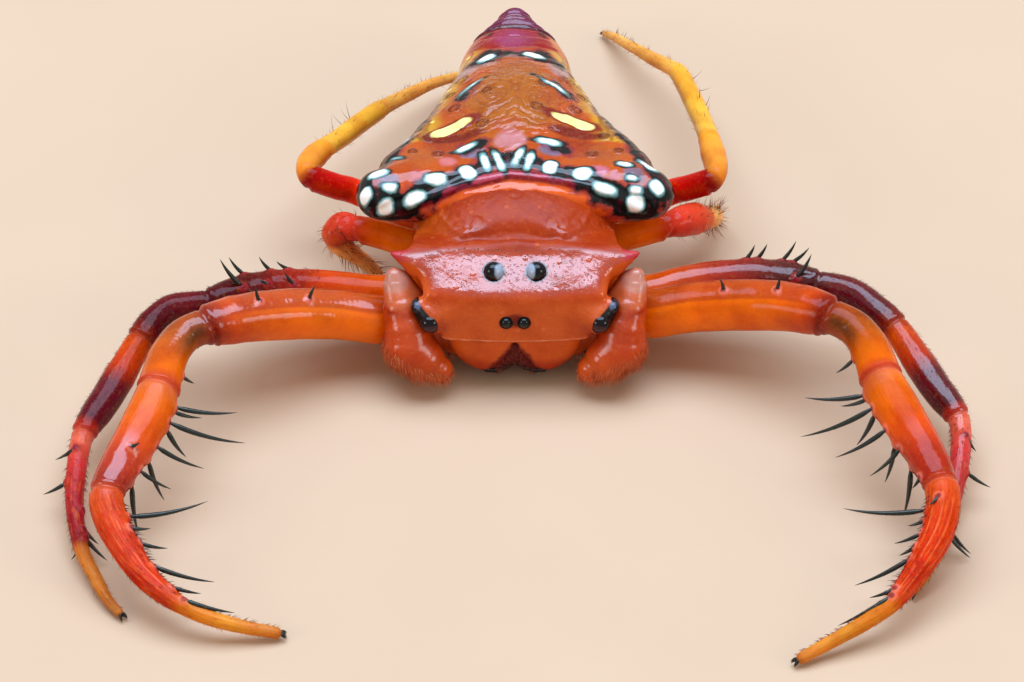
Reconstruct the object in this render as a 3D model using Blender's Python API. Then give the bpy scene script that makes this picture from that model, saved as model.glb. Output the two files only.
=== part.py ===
"""A triangular spider, Arkys, at life size: a still figure crouched on a flat floor.

Lengths are in millimetres, and hand_over() turns each finished mesh into metres.
x runs towards the spider's own left, y towards its tail, and z up from the floor.
"""

import math

import bmesh
import bpy
import numpy as np
from mathutils import Matrix, Vector

# Driving sizes of the whole animal
MM = 0.001
JOINT_GAP = 0.08
EYE_GAP = 0.04
FLOOR = 0.0
SHARP_EDGE = 40
HALVINGS = 30

# Cephalothorax: a broad low head with two pointed shoulders, and a domed thorax behind it
THORAX_CENTRE = (0.0, 0.82, 1.28)
THORAX_RADII = (1.6, 1.3, 1.02)
HEAD_CENTRE = (0.0, -0.3, 1.35)
HEAD_RADII = (1.25, 0.92, 0.72)
BROW_CENTRE = (0.0, -0.45, 1.72)
BROW_RADII = (1.3, 0.62, 0.42)
SHOULDER_ROOT = (0.75, -0.42, 1.66)
SHOULDER_ROOT_RADIUS = 0.5
SHOULDER_END = (1.5, -0.42, 1.84)
SHOULDER_END_RADIUS = 0.22
HORN_PLACES = ((1.0, -0.44, 1.7), (1.45, -0.42, 1.84), (1.72, -0.4, 1.93), (1.93, -0.38, 2.03))
HORN_RADII = (0.3, 0.21, 0.12, 0.035)
HORN_SIDES = 10
CHEEK_TOP = (1.4, -0.48, 1.76)
CHEEK_RADIUS = 0.17
EYE_MOUND_ROOT = (0.6, -0.75, 1.4)
EYE_MOUND_TIP = (1.26, -1.1, 1.36)
EYE_MOUND_RADII = (0.42, 0.2)
CLYPEUS_REACH = (0.85, -0.98, 1.22)
CLYPEUS_RADIUS = 0.3
BODY_SOFTNESS = 0.07
PROSOMA_MIDDLE = (0.0, 0.1, 1.35)
PROSOMA_REACH = (2.2, 2.6, 1.4)
PROSOMA_RINGS = (44, 22)

# Eyes: two behind, two in front, and a pair on each side mound
EYES = {
    "eye_rear_middle": ((0.32, -0.74, 1.98), 0.16),
    "eye_front_middle": ((0.13, -1.2, 1.4), 0.105),
    "eye_front_side": ((1.33, -1.22, 1.34), 0.15),
    "eye_rear_side": ((1.5, -1.05, 1.5), 0.11),
}
EYE_FINENESS = 2

# Jaws: each comes down from under the face, and its fang folds in below it
JAW_JOINTS = (
    (0.55, -0.82, 1.2), (0.57, -0.97, 0.94), (0.52, -1.08, 0.68), (0.42, -1.16, 0.48), (0.36, -1.2, 0.4),
)
JAW_RADII = (0.48, 0.5, 0.43, 0.26, 0.12)
JAW_SIDES = 14
FANG_TIP = (0.14, -1.3, 0.4)
FANG_RADII = (0.1, 0.04)
FANG_SIDES = 5

# Palps: each femur rises beside the face to a knee below the shoulder, and the rest comes down in
# front to a broad foot
PALP_FEMUR = ((0.95, -0.8, 0.58), (1.38, -0.78, 1.04), (1.76, -0.5, 1.56))
PALP_FEMUR_RADII = (0.2, 0.2, 0.2)
PALP_TIBIA = (
    (1.8, -0.4, 1.62), (1.83, -0.5, 1.54), (1.86, -0.8, 1.3), (1.8, -1.12, 0.96), (1.56, -1.33, 0.72),
    (1.22, -1.41, 0.53), (1.12, -1.43, 0.48),
)
PALP_TIBIA_RADII = (0.12, 0.2, 0.23, 0.26, 0.31, 0.25, 0.13)
PALP_SIDES = 10

# Abdomen: a rounded triangle, widest in front, that overhangs the thorax
ABDOMEN_CORNER = (2.09, 1.05, 1.98)
ABDOMEN_CORNER_RADIUS = 0.38
ABDOMEN_FLANK = (1.68, 1.14, 1.95)
ABDOMEN_FLANK_RADIUS = 0.42
ABDOMEN_INNER = (1.2, 1.3, 1.9)
ABDOMEN_BACK = (0.0, 2.4, 1.5)
ABDOMEN_BACK_RADII = (1.32, 2.2, 1.02)
ABDOMEN_RUMP = (0.0, 4.78, 1.28)
ABDOMEN_RUMP_RADII = (0.9, 1.2, 0.56)
ABDOMEN_TAIL = (0.0, 5.7, 1.24)
ABDOMEN_TAIL_RADIUS = 0.38
ABDOMEN_SOFTNESS = 0.1
ABDOMEN_MIDDLE = (0.0, 2.1, 1.7)
ABDOMEN_REACH = (2.8, 4.8, 1.4)
ABDOMEN_RINGS = (60, 24)

# Spinnerets: a short ringed cone behind the tail, given as distances and radii, with two pairs of
# blunt teats below it
SPINNERET_ROOT = (0.0, 5.85, 1.2)
SPINNERET_CONE = ((0.0, 0.34), (0.2, 0.33), (0.42, 0.27), (0.62, 0.2), (0.72, 0.08))
SPINNERET_DROOP = -12
SPINNERET_SIDES = 14
TEATS = ((0.11, 6.05, 1.0), (0.13, 5.84, 0.92))
TEAT_REACH = (0.02, 0.28, -0.22)
TEAT_RADII = (0.12, 0.08)
TEAT_SIDES = 8

# Legs: the points where the axis of each leg turns, hip first and foot last
LEG_JOINTS = {
    "leg_1_right": (
        (-0.8, -0.1, 0.65), (-2.0, -0.5, 0.72), (-4.88, -1.55, 1.65), (-5.4, -2.82, 1.5),
        (-6.2, -4.9, 1.1), (-5.0, -6.65, 0.5), (-3.4, -6.72, 0.08),
    ),
    "leg_1_left": (
        (0.8, -0.1, 0.65), (2.0, -0.5, 0.72), (5.05, -1.4, 1.65), (5.68, -2.62, 1.5),
        (6.38, -4.72, 1.1), (5.65, -6.6, 0.5), (4.24, -7.28, 0.08),
    ),
    "leg_2_right": (
        (-0.85, 0.4, 0.65), (-2.0, 0.3, 0.72), (-4.75, -0.5, 1.35), (-5.7, -1.4, 1.05),
        (-6.56, -3.05, 0.7), (-6.5, -5.2, 0.3), (-5.86, -6.38, 0.08),
    ),
    "leg_2_left": (
        (0.85, 0.4, 0.65), (2.0, 0.3, 0.72), (4.83, -0.25, 1.35), (5.82, -1.0, 1.05),
        (6.73, -2.65, 0.7), (6.63, -4.95, 0.3), (5.97, -6.0, 0.08),
    ),
    "leg_3_right": (
        (-0.8, 0.9, 0.75), (-1.5, 1.1, 0.85), (-2.6, 1.15, 1.18), (-2.85, 1.1, 0.9),
        (-2.6, 1.2, 0.5), (-2.15, 1.3, 0.08),
    ),
    "leg_3_left": (
        (0.8, 0.9, 0.75), (1.5, 1.1, 0.85), (2.5, 1.25, 1.18), (2.95, 1.45, 1.0),
        (3.1, 2.0, 0.55), (3.1, 2.6, 0.08),
    ),
    "leg_4_right": (
        (-0.7, 1.5, 0.75), (-1.6, 1.75, 0.8), (-3.3, 2.0, 1.5), (-2.95, 2.85, 1.4),
        (-2.15, 4.4, 0.95), (-1.5, 5.55, 0.45), (-0.9, 6.35, 0.08),
    ),
    "leg_4_left": (
        (0.7, 1.5, 0.75), (1.6, 1.75, 0.8), (3.28, 1.95, 1.5), (3.2, 2.9, 1.45),
        (2.85, 5.1, 0.95), (2.2, 6.4, 0.45), (1.56, 7.36, 0.08),
    ),
}
# Half thickness of a leg at each of those points, and how much each article swells between them
LEG_RADII = {
    "leg_1": (0.3, 0.34, 0.33, 0.31, 0.27, 0.22, 0.12),
    "leg_2": (0.26, 0.28, 0.26, 0.25, 0.24, 0.19, 0.12),
    "leg_3": (0.25, 0.27, 0.25, 0.24, 0.22, 0.12),
    "leg_4": (0.25, 0.26, 0.25, 0.24, 0.22, 0.2, 0.12),
}
SWELLING = {"leg_1": 1.14, "leg_2": 1.06, "leg_3": 1.06, "leg_4": 1.04}
# Which joints a leg is parted at, with a name for each length
LEG_PARTS = {
    "leg_1": ((2, 4), ("femur", "tibia", "tarsus")),
    "leg_2": ((2, 4), ("femur", "tibia", "tarsus")),
    "leg_3": ((2,), ("femur", "tibia")),
    "leg_4": ((2, 4), ("femur", "tibia", "tarsus")),
}
LEG_SIDES = 10
KNEE_BEND = 0.42
BEND_LIMIT = 0.4
BEND_STEPS = (0.0, 0.25, 0.5, 0.75, 1.0)
BEND_MIDDLE = 0.5

# Spines of the catching legs: the article counted from the hip, the share of its length, the spine's
# length, its roll towards the floor and its lean towards the foot in degrees. Femur spines roll from
# the leg's front, and all others from the side that faces the middle of the body.
SPINES = {
    "leg_1": (
        (1, 0.62, 0.32, -95, -10), (1, 0.8, 0.32, -95, -10),
        (2, 0.72, 0.4, 5, 25),
        (3, 0.1, 0.95, 5, -18), (3, 0.25, 1.15, 8, -10), (3, 0.46, 0.85, 10, 0), (3, 0.68, 0.6, 10, 8),
        (3, 0.16, 0.5, 55, 5), (3, 0.34, 0.75, 60, 5), (3, 0.56, 0.8, 62, 12), (3, 0.78, 0.85, 62, 18),
        (4, 0.19, 1.2, 5, 14), (4, 0.36, 0.5, 10, 38), (4, 0.56, 0.9, 10, 44), (4, 0.73, 0.5, 10, 48),
        (4, 0.9, 0.85, 10, 44),
    ),
    "leg_2": (
        (1, 0.56, 0.4, -80, 20), (1, 0.66, 0.5, -75, 20), (1, 0.76, 0.5, -80, 20), (1, 0.86, 0.6, -75, 20),
        (1, 0.72, 0.5, -40, 20), (1, 0.84, 0.5, -40, 20),
        (3, 0.35, 0.45, 40, 20), (3, 0.62, 0.5, 40, 20),
        (4, 0.08, 0.4, -160, 25), (4, 0.34, 0.42, -165, 20), (4, 0.78, 0.5, -160, 45),
        (4, 0.32, 0.4, 50, 40), (4, 0.55, 0.45, 50, 40), (4, 0.8, 0.5, 50, 45),
    ),
}
FEMUR = 1
SPINE_ROOT_RADIUS = 0.065
SPINE_ROOT_GROWTH = 0.05
SPINE_TIP_RADIUS = 0.03
SPINE_SIDES = 5
SPINE_SINK = 0.12
SPINE_BEND = 0.55
SPINE_CURVE = 0.14

# Claws: a pair on each foot, with their spread and reach at the root, bend and tip
CLAW_LENGTH = 0.16
CLAW_RADII = (0.07, 0.07, 0.03)
CLAW_SPREAD = (0.4, 0.7, 0.9)
CLAW_BEND = 0.6
CLAW_SIDES = 6

# Finishes and colours
GLOSSY = 0.2
SATIN = 0.35
WET = 0.08
ORANGE = (0.72, 0.13, 0.02)
DARK_RED = (0.22, 0.012, 0.012)
AMBER = (0.75, 0.33, 0.05)
BLACK = (0.01, 0.008, 0.012)
CRIMSON = (0.35, 0.02, 0.01)


def clear_scene():
    for leftover in list(bpy.data.objects):
        bpy.data.objects.remove(leftover)


def lacquer(name, colour, roughness=GLOSSY):
    """Glossy cuticle of one colour."""
    material = bpy.data.materials.new(name)
    material.use_nodes = True
    shader = material.node_tree.nodes["Principled BSDF"]
    shader.inputs["Base Color"].default_value = (*colour, 1.0)
    shader.inputs["Roughness"].default_value = roughness
    shader.inputs["Metallic"].default_value = 0.0
    return material


def object_from(bm, name):
    mesh = bpy.data.meshes.new(name)
    bmesh.ops.recalc_face_normals(bm, faces=bm.faces)
    bm.to_mesh(mesh)
    bm.free()
    made = bpy.data.objects.new(name, mesh)
    bpy.context.scene.collection.objects.link(made)
    return made


def mirrored(point, side):
    """A point given for the left side, or its twin on the right when side is -1."""
    return (side * point[0], point[1], point[2])


# Fields: each is below zero inside a form, zero on its surface and above zero outside
def ball(centre, radii):
    centre, radii = np.array(centre), np.array(radii)
    return lambda p: (np.linalg.norm((p - centre) / radii, axis=1) - 1.0) * radii.min()


def taper(start, start_radius, end, end_radius):
    """A round bar whose thickness runs from one radius to the other."""
    start, end = np.array(start), np.array(end)
    along = end - start

    def field(p):
        share = np.clip((p - start) @ along / (along @ along), 0.0, 1.0)
        nearest = start + share[:, None] * along
        radius = start_radius + share * (end_radius - start_radius)
        return np.linalg.norm(p - nearest, axis=1) - radius

    return field


def slab(corners, radii):
    """A triangle thickened into a rounded slab, with its own radius at each corner."""
    corners, radii = np.array(corners), np.array(radii)
    sides = [corners[1] - corners[0], corners[2] - corners[0]]
    level = np.linalg.inv(np.array([sides[0], sides[1], np.cross(*sides)]).T)
    edges = [taper(corners[i], radii[i], corners[(i + 1) % 3], radii[(i + 1) % 3]) for i in range(3)]

    def field(p):
        u, v, out = level @ (p - corners[0]).T
        thickness = radii[0] * (1 - u - v) + radii[1] * u + radii[2] * v
        flat = np.abs(out) * np.linalg.norm(np.cross(*sides)) - thickness
        within = (u >= 0) & (v >= 0) & (u + v <= 1)
        return np.where(within, flat, np.min([edge(p) for edge in edges], axis=0))

    return field


def melt(fields, softness):
    """Several forms run together, with fillets about as wide as softness."""
    return lambda p: -softness * np.log(sum(np.exp(-f(p) / softness) for f in fields))


def body_skin(name, field, centre, reach, rings, level=0.0):
    """A ball of vertices about centre, each pushed out to where the field reaches level."""
    bm = bmesh.new()
    bmesh.ops.create_uvsphere(bm, u_segments=rings[0], v_segments=rings[1], radius=1.0)
    rays = np.array([v.co for v in bm.verts]) * np.array(reach)
    centre = np.array(centre)
    near, far = np.zeros(len(rays)), np.full(len(rays), 2.0)
    for _ in range(HALVINGS):
        middle = (near + far) / 2
        inside = field(centre + rays * middle[:, None]) < level
        near, far = np.where(inside, middle, near), np.where(inside, far, middle)
    for vertex, place in zip(bm.verts, centre + rays * near[:, None]):
        vertex.co = place
    bmesh.ops.triangulate(bm, faces=bm.faces)
    return object_from(bm, name)


# Limbs: a stop is a place on the axis, the radius there, the heading, and the joint it stands on
def stops_along(places, radii, joints=()):
    """Stops at the places, each heading from the place before it to the place after it."""
    places = [Vector(p) for p in places]
    last = len(places) - 1
    joints = joints or [None] * len(places)
    return [
        (place, radius, (places[min(i + 1, last)] - places[max(i - 1, 0)]).normalized(), joint)
        for i, (place, radius, joint) in enumerate(zip(places, radii, joints))
    ]


def rounded_stops(corners, radii, swelling, bend):
    """Stops along a limb, its corners rounded by curves and its articles swollen between them."""
    points = [Vector(c) for c in corners]
    places, widths, joints = [], [], []
    last = len(points) - 1
    for i, here in enumerate(points):
        if 0 < i < last:
            before, after = points[i - 1] - here, points[i + 1] - here
            reach = min(bend, BEND_LIMIT * before.length, BEND_LIMIT * after.length)
            enter, leave = here + before.normalized() * reach, here + after.normalized() * reach
            for step in BEND_STEPS:
                places.append(enter.lerp(here, step).lerp(here.lerp(leave, step), step))
                widths.append(radii[i])
                joints.append(i if step == BEND_MIDDLE else None)
        else:
            places.append(here)
            widths.append(radii[i])
            joints.append(i)
        if i < last:
            places.append((here + points[i + 1]) / 2)
            widths.append(swelling * (radii[i] + radii[i + 1]) / 2)
            joints.append(None)
    return stops_along(places, widths, joints)


def tube(name, stops, sides):
    """A closed round tube through the stops, made ring by ring by extrusion."""
    bm = bmesh.new()
    loop = list(bmesh.ops.create_circle(bm, cap_ends=True, segments=sides, radius=1.0)["verts"])
    ring = [v.co.copy() for v in loop]
    turn = stops[0][2].to_track_quat("Z", "Y")
    heading = stops[0][2]
    for number, (place, radius, ahead, _) in enumerate(stops):
        turn = heading.rotation_difference(ahead) @ turn
        heading = ahead
        if number > 0:
            edges = [bm.edges.get(pair) for pair in zip(loop, loop[1:] + loop[:1])]
            made = bmesh.ops.extrude_edge_only(bm, edges=edges)["geom"]
            fresh = {g for g in made if isinstance(g, bmesh.types.BMVert)}
            loop = [next(o for o in (e.other_vert(v) for e in v.link_edges) if o in fresh) for v in loop]
        for vertex, at in zip(loop, ring):
            vertex.co = place + turn @ at * radius
    bm.faces.new(loop)
    bmesh.ops.triangulate(bm, faces=bm.faces)
    return object_from(bm, name)


def settle_on_floor(tube_object):
    """Presses whatever would reach below the floor flat onto it."""
    for vertex in tube_object.data.vertices:
        vertex.co.z = max(vertex.co.z, FLOOR)


def part_at_joints(stops, joints):
    """Splits the stops at the numbered joints, leaving the joint gap between the two flat faces."""
    lengths, current = [], []
    for stop in stops:
        place, radius, heading, joint = stop
        if joint in joints:
            lengths.append([*current, (place - heading * JOINT_GAP / 2, radius, heading, None)])
            current = [(place + heading * JOINT_GAP / 2, radius, heading, None)]
        else:
            current.append(stop)
    return [*lengths, current]


def spine_on(joints, radii, article, place, length, roll, lean):
    """One tapered spine, rooted well inside the article, with a slight curve towards the foot."""
    start, end = Vector(joints[article]), Vector(joints[article + 1])
    axis = (end - start).normalized()
    middle = Vector((-math.copysign(1.0, end.x), 0.0, 0.0))
    facing = Vector((0.0, -1.0, 0.0)) if article == FEMUR else middle
    facing = (facing - axis * facing.dot(axis)).normalized()
    down = axis.cross(facing)
    if down.z > 0:
        down = -down
    outward = facing * math.cos(math.radians(roll)) + down * math.sin(math.radians(roll))
    heading = outward * math.cos(math.radians(lean)) + axis * math.sin(math.radians(lean))
    radius = radii[article] + place * (radii[article + 1] - radii[article])
    surface = start.lerp(end, place) + outward * radius
    places = (
        surface - heading * SPINE_SINK,
        surface + heading * length * SPINE_BEND,
        surface + (heading + axis * SPINE_CURVE).normalized() * length,
    )
    root_radius = SPINE_ROOT_RADIUS + SPINE_ROOT_GROWTH * length
    widths = (root_radius, (root_radius + SPINE_TIP_RADIUS) / 2, SPINE_TIP_RADIUS)
    return tube("spine", stops_along(places, widths), SPINE_SIDES)


def claws_on(foot, radius, ahead):
    """Two short claws that spread from the end of a foot."""
    aside = Vector((-ahead.y, ahead.x, 0.0)).normalized() * radius
    stations = list(zip(CLAW_SPREAD, (-radius, CLAW_BEND * CLAW_LENGTH, CLAW_LENGTH)))
    claws = []
    for side in (-1, 1):
        places = [foot + aside * side * spread + ahead * reach for spread, reach in stations]
        places[-1].z = FLOOR + CLAW_RADII[-1]
        claws.append(tube("claw", stops_along(places, CLAW_RADII), CLAW_SIDES))
    return claws


# Joining and cutting
def apply_modifiers(target):
    graph = bpy.context.evaluated_depsgraph_get()
    mesh = bpy.data.meshes.new_from_object(target.evaluated_get(graph))
    target.modifiers.clear()
    target.data = mesh


def keep_largest(target):
    """Drops every closed surface of the mesh but the biggest."""
    bm = bmesh.new()
    bm.from_mesh(target.data)
    islands, unseen = [], set(bm.verts)
    while unseen:
        island, border = set(), [unseen.pop()]
        while border:
            vertex = border.pop()
            island.add(vertex)
            fresh = {e.other_vert(vertex) for e in vertex.link_edges} & unseen
            unseen -= fresh
            border.extend(fresh)
        islands.append(island)
    islands.sort(key=len)
    for island in islands[:-1]:
        bmesh.ops.delete(bm, geom=list(island), context="VERTS")
    bm.to_mesh(target.data)
    bm.free()


def boolean(target, pieces, operation):
    """Joins the pieces to the target, or cuts them from it, and removes them."""
    if not pieces:
        return
    group = bpy.data.collections.new("pieces")
    bpy.context.scene.collection.children.link(group)
    for piece in pieces:
        bpy.context.scene.collection.objects.unlink(piece)
        group.objects.link(piece)
    modifier = target.modifiers.new("join", "BOOLEAN")
    modifier.operation = operation
    modifier.solver = "EXACT"
    modifier.operand_type = "COLLECTION"
    modifier.collection = group
    apply_modifiers(target)
    for piece in pieces:
        bpy.data.objects.remove(piece)
    bpy.data.collections.remove(group)
    keep_largest(target)


def duplicate(source):
    twin = bpy.data.objects.new(source.name + "_cutter", source.data.copy())
    bpy.context.scene.collection.objects.link(twin)
    return twin


def hand_over(target, material):
    """Gives the node its material and turns its millimetres into metres."""
    target.data.transform(Matrix.Scale(MM, 4))
    target.data.materials.clear()
    target.data.materials.append(material)
    target.data.shade_smooth()
    target.data.set_sharp_from_angle(angle=math.radians(SHARP_EDGE))


# Forms of the body
def prosoma_field():
    forms = [
        ball(THORAX_CENTRE, THORAX_RADII),
        ball(HEAD_CENTRE, HEAD_RADII),
        ball(BROW_CENTRE, BROW_RADII),
        taper(mirrored(CLYPEUS_REACH, -1), CLYPEUS_RADIUS, CLYPEUS_REACH, CLYPEUS_RADIUS),
    ]
    for side in (-1, 1):
        mound_root, mound_tip = mirrored(EYE_MOUND_ROOT, side), mirrored(EYE_MOUND_TIP, side)
        shoulder, shoulder_end = mirrored(SHOULDER_ROOT, side), mirrored(SHOULDER_END, side)
        forms += [
            taper(shoulder, SHOULDER_ROOT_RADIUS, shoulder_end, SHOULDER_END_RADIUS),
            taper(mound_root, EYE_MOUND_RADII[0], mound_tip, EYE_MOUND_RADII[1]),
            taper(mirrored(CHEEK_TOP, side), CHEEK_RADIUS, mound_tip, CHEEK_RADIUS),
        ]
    return melt(forms, BODY_SOFTNESS)


def abdomen_field():
    corners = (mirrored(ABDOMEN_FLANK, -1), ABDOMEN_FLANK, ABDOMEN_TAIL)
    forms = [
        slab(corners, (ABDOMEN_FLANK_RADIUS, ABDOMEN_FLANK_RADIUS, ABDOMEN_TAIL_RADIUS)),
        ball(ABDOMEN_BACK, ABDOMEN_BACK_RADII),
        ball(ABDOMEN_RUMP, ABDOMEN_RUMP_RADII),
    ]
    for side in (-1, 1):
        inner, corner = mirrored(ABDOMEN_INNER, side), mirrored(ABDOMEN_CORNER, side)
        forms.append(taper(inner, ABDOMEN_FLANK_RADIUS, corner, ABDOMEN_CORNER_RADIUS))
    return melt(forms, ABDOMEN_SOFTNESS)


def build_body():
    """The cephalothorax, the same form grown by the joint gap, and the abdomen cut clear of it."""
    field = prosoma_field()
    prosoma = body_skin("cephalothorax", field, PROSOMA_MIDDLE, PROSOMA_REACH, PROSOMA_RINGS)
    clearance = body_skin("clearance", field, PROSOMA_MIDDLE, PROSOMA_REACH, PROSOMA_RINGS, JOINT_GAP)
    horns = [
        tube("horn", stops_along([mirrored(place, side) for place in HORN_PLACES], HORN_RADII), HORN_SIDES)
        for side in (-1, 1)
    ]
    boolean(prosoma, horns, "UNION")
    abdomen = body_skin("abdomen", abdomen_field(), ABDOMEN_MIDDLE, ABDOMEN_REACH, ABDOMEN_RINGS)
    boolean(abdomen, [duplicate(clearance)], "DIFFERENCE")
    return prosoma, clearance, abdomen


def round_ball(name, centre, radius):
    bm = bmesh.new()
    bmesh.ops.create_icosphere(bm, subdivisions=EYE_FINENESS, radius=radius)
    bmesh.ops.translate(bm, verts=bm.verts, vec=centre)
    return object_from(bm, name)


def build_eyes(prosoma, material):
    """Eight balls, each in a socket of its own in the head."""
    sockets = []
    for name, (place, radius) in EYES.items():
        for side, word in ((1, "left"), (-1, "right")):
            hand_over(round_ball(f"{name}_{word}", mirrored(place, side), radius), material)
            sockets.append(round_ball("socket", mirrored(place, side), radius + EYE_GAP))
    boolean(prosoma, sockets, "DIFFERENCE")


def spinneret_form(name, growth):
    """The cone and its teats as one body, with every surface moved out by growth."""
    droop = math.radians(SPINNERET_DROOP)
    ahead = Vector((0.0, math.cos(droop), math.sin(droop)))
    places, widths = [], []
    for along, radius in SPINNERET_CONE:
        reach = along + growth if along > 0 else along - growth
        places.append(Vector(SPINNERET_ROOT) + ahead * reach)
        widths.append(radius + growth)
    cone = tube(name, stops_along(places, widths), SPINNERET_SIDES)
    teats = []
    teat_radii = [radius + growth for radius in TEAT_RADII]
    for side in (-1, 1):
        for teat in TEATS:
            start = Vector(mirrored(teat, side))
            end = start + Vector(mirrored(TEAT_REACH, side))
            teats.append(tube("teat", stops_along((start, end), teat_radii), TEAT_SIDES))
    boolean(cone, teats, "UNION")
    return cone


def build_spinnerets(abdomen, material):
    """The ringed cone, with the abdomen's tail cut back to leave the joint gap."""
    hand_over(spinneret_form("spinnerets", 0.0), material)
    boolean(abdomen, [spinneret_form("room", JOINT_GAP)], "DIFFERENCE")


def build_jaws(clearance, material):
    for side, word in ((1, "left"), (-1, "right")):
        jaw_joints = [mirrored(joint, side) for joint in JAW_JOINTS]
        jaw = tube(f"chelicera_{word}", stops_along(jaw_joints, JAW_RADII), JAW_SIDES)
        fang_stops = stops_along((jaw_joints[-1], mirrored(FANG_TIP, side)), FANG_RADII)
        boolean(jaw, [tube("fang", fang_stops, FANG_SIDES)], "UNION")
        boolean(jaw, [duplicate(clearance)], "DIFFERENCE")
        hand_over(jaw, material)


def build_palps(clearance, material):
    for side, word in ((1, "left"), (-1, "right")):
        femur_stops = stops_along([mirrored(joint, side) for joint in PALP_FEMUR], PALP_FEMUR_RADII)
        tibia_stops = stops_along([mirrored(joint, side) for joint in PALP_TIBIA], PALP_TIBIA_RADII)
        palp = tube(f"palp_{word}", tibia_stops, PALP_SIDES)
        boolean(palp, [tube("femur", femur_stops, PALP_SIDES)], "UNION")
        boolean(palp, [duplicate(clearance)], "DIFFERENCE")
        hand_over(palp, material)


def build_legs(clearance, materials):
    """Each leg's lengths with the spines that stand on them, the first one cut clear of the body."""
    for leg, joints in LEG_JOINTS.items():
        kind = leg.rpartition("_")[0]
        radii = LEG_RADII[kind]
        stops = rounded_stops(joints, radii, SWELLING[kind], KNEE_BEND)
        cuts, words = LEG_PARTS[kind]
        edges = (0, *cuts, len(joints) - 1)
        for number, (length, word) in enumerate(zip(part_at_joints(stops, cuts), words)):
            piece = tube(f"{leg}_{word}", length, LEG_SIDES)
            articles = range(edges[number], edges[number + 1])
            spines = [spine for spine in SPINES.get(kind, ()) if spine[0] in articles]
            additions = [spine_on(joints, radii, *spine) for spine in spines]
            if number == len(cuts):
                foot, foot_radius, ahead, _ = stops[-1]
                additions += claws_on(foot, foot_radius, ahead)
            boolean(piece, additions, "UNION")
            if number == 0:
                boolean(piece, [duplicate(clearance)], "DIFFERENCE")
            settle_on_floor(piece)
            hand_over(piece, materials.get((kind, word), materials[kind]))


def main():
    clear_scene()
    orange = lacquer("orange_cuticle", ORANGE)
    dark_red = lacquer("dark_red_cuticle", DARK_RED)
    amber = lacquer("amber_cuticle", AMBER, SATIN)
    black = lacquer("eye_black", BLACK, WET)
    crimson = lacquer("crimson_cuticle", CRIMSON)
    prosoma, clearance, abdomen = build_body()
    build_eyes(prosoma, black)
    build_spinnerets(abdomen, dark_red)
    build_jaws(clearance, orange)
    build_palps(clearance, orange)
    leg_materials = {"leg_1": orange, "leg_2": dark_red, "leg_3": orange, "leg_4": amber}
    leg_materials["leg_4", "femur"] = crimson
    build_legs(clearance, leg_materials)
    hand_over(prosoma, orange)
    hand_over(abdomen, crimson)
    bpy.data.objects.remove(clearance)


main()
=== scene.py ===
import bpy, bmesh, math, random
import numpy as np
from mathutils import Matrix, Vector


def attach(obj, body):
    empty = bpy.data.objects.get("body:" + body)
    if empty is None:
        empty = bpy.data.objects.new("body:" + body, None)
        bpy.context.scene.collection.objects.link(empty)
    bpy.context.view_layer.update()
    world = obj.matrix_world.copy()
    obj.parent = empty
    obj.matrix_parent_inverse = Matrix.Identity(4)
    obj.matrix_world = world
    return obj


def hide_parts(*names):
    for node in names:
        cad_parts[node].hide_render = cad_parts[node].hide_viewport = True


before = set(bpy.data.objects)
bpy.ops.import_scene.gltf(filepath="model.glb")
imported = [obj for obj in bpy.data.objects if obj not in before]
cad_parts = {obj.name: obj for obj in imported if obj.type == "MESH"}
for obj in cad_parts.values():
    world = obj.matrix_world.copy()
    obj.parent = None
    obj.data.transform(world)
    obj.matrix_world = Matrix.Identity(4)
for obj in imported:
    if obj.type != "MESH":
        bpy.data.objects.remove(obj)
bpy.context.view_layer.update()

# Head and thorax
# The shell over the head and thorax is one hard, glossy piece of amber cuticle: a domed
# thorax, then a raised flat forehead that ends at each side in a horn. It is one skin,
# cast onto smooth forms that are melted into each other, in millimetres.

MM = 0.001


def screen(red, green, blue):
    """A colour given in screen values, 0 to 255, as the linear colour that a material takes."""
    shares = [c / 255 for c in (red, green, blue)]
    return tuple(s / 12.92 if s < 0.04045 else ((s + 0.055) / 1.055) ** 2.4 for s in shares)


def flip(side, point):
    """The point itself for side 1, and its mirror place on the other side of the body for side -1."""
    return (side * point[0], point[1], point[2])


def mirror(side, places):
    return [flip(side, place) for place in places]


# A form is a function that says how far, in millimetres, each point lies outside a solid.


def ball(centre, radii):
    centre, radii = np.array(centre), np.array(radii) * np.ones(3)
    return lambda p: (np.linalg.norm((p - centre) / radii, axis=1) - 1) * radii.min()


def bar(places, radii):
    """A round bar along a bent line, with its own radius at each place."""
    places = np.array(places, float)

    def form(p):
        reach = []
        for a, b, ra, rb in zip(places, places[1:], radii, radii[1:]):
            along = b - a
            share = np.clip((p - a) @ along / (along @ along), 0, 1)
            reach.append(np.linalg.norm(p - a - share[:, None] * along, axis=1) - ra - share * (rb - ra))
        return np.min(reach, axis=0)
    return form


def slope(point, normal, curl=0.0):
    """Everything behind a face, which may curl towards its sides."""
    normal = np.array(normal) / np.linalg.norm(normal)
    return lambda p: (p - np.array(point)) @ normal + curl * p[:, 0] ** 2


def melt(forms, softness):
    """The forms together, with soft joins."""
    return lambda p: -softness * np.log(sum(np.exp(-np.clip(form(p), -9 * softness, 30 * softness) / softness)
                                            for form in forms))


def meet(forms, softness):
    """Only what all the forms share, with softened edges."""
    return lambda p: softness * np.log(sum(np.exp(np.clip(form(p), -30 * softness, 9 * softness) / softness)
                                           for form in forms))


def hollow(form, tool, softness):
    """The form with the tool cut away."""
    return meet([form, lambda p: -tool(p)], softness)


def step(value, low, high):
    """0 below low, 1 above high, and a smooth rise between them."""
    share = np.clip((value - low) / (high - low), 0, 1)
    return share * share * (3 - 2 * share)


def drop(value, low, high):
    """1 below low, 0 above high, and a smooth fall between them."""
    return step(-value, -high, -low)


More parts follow.
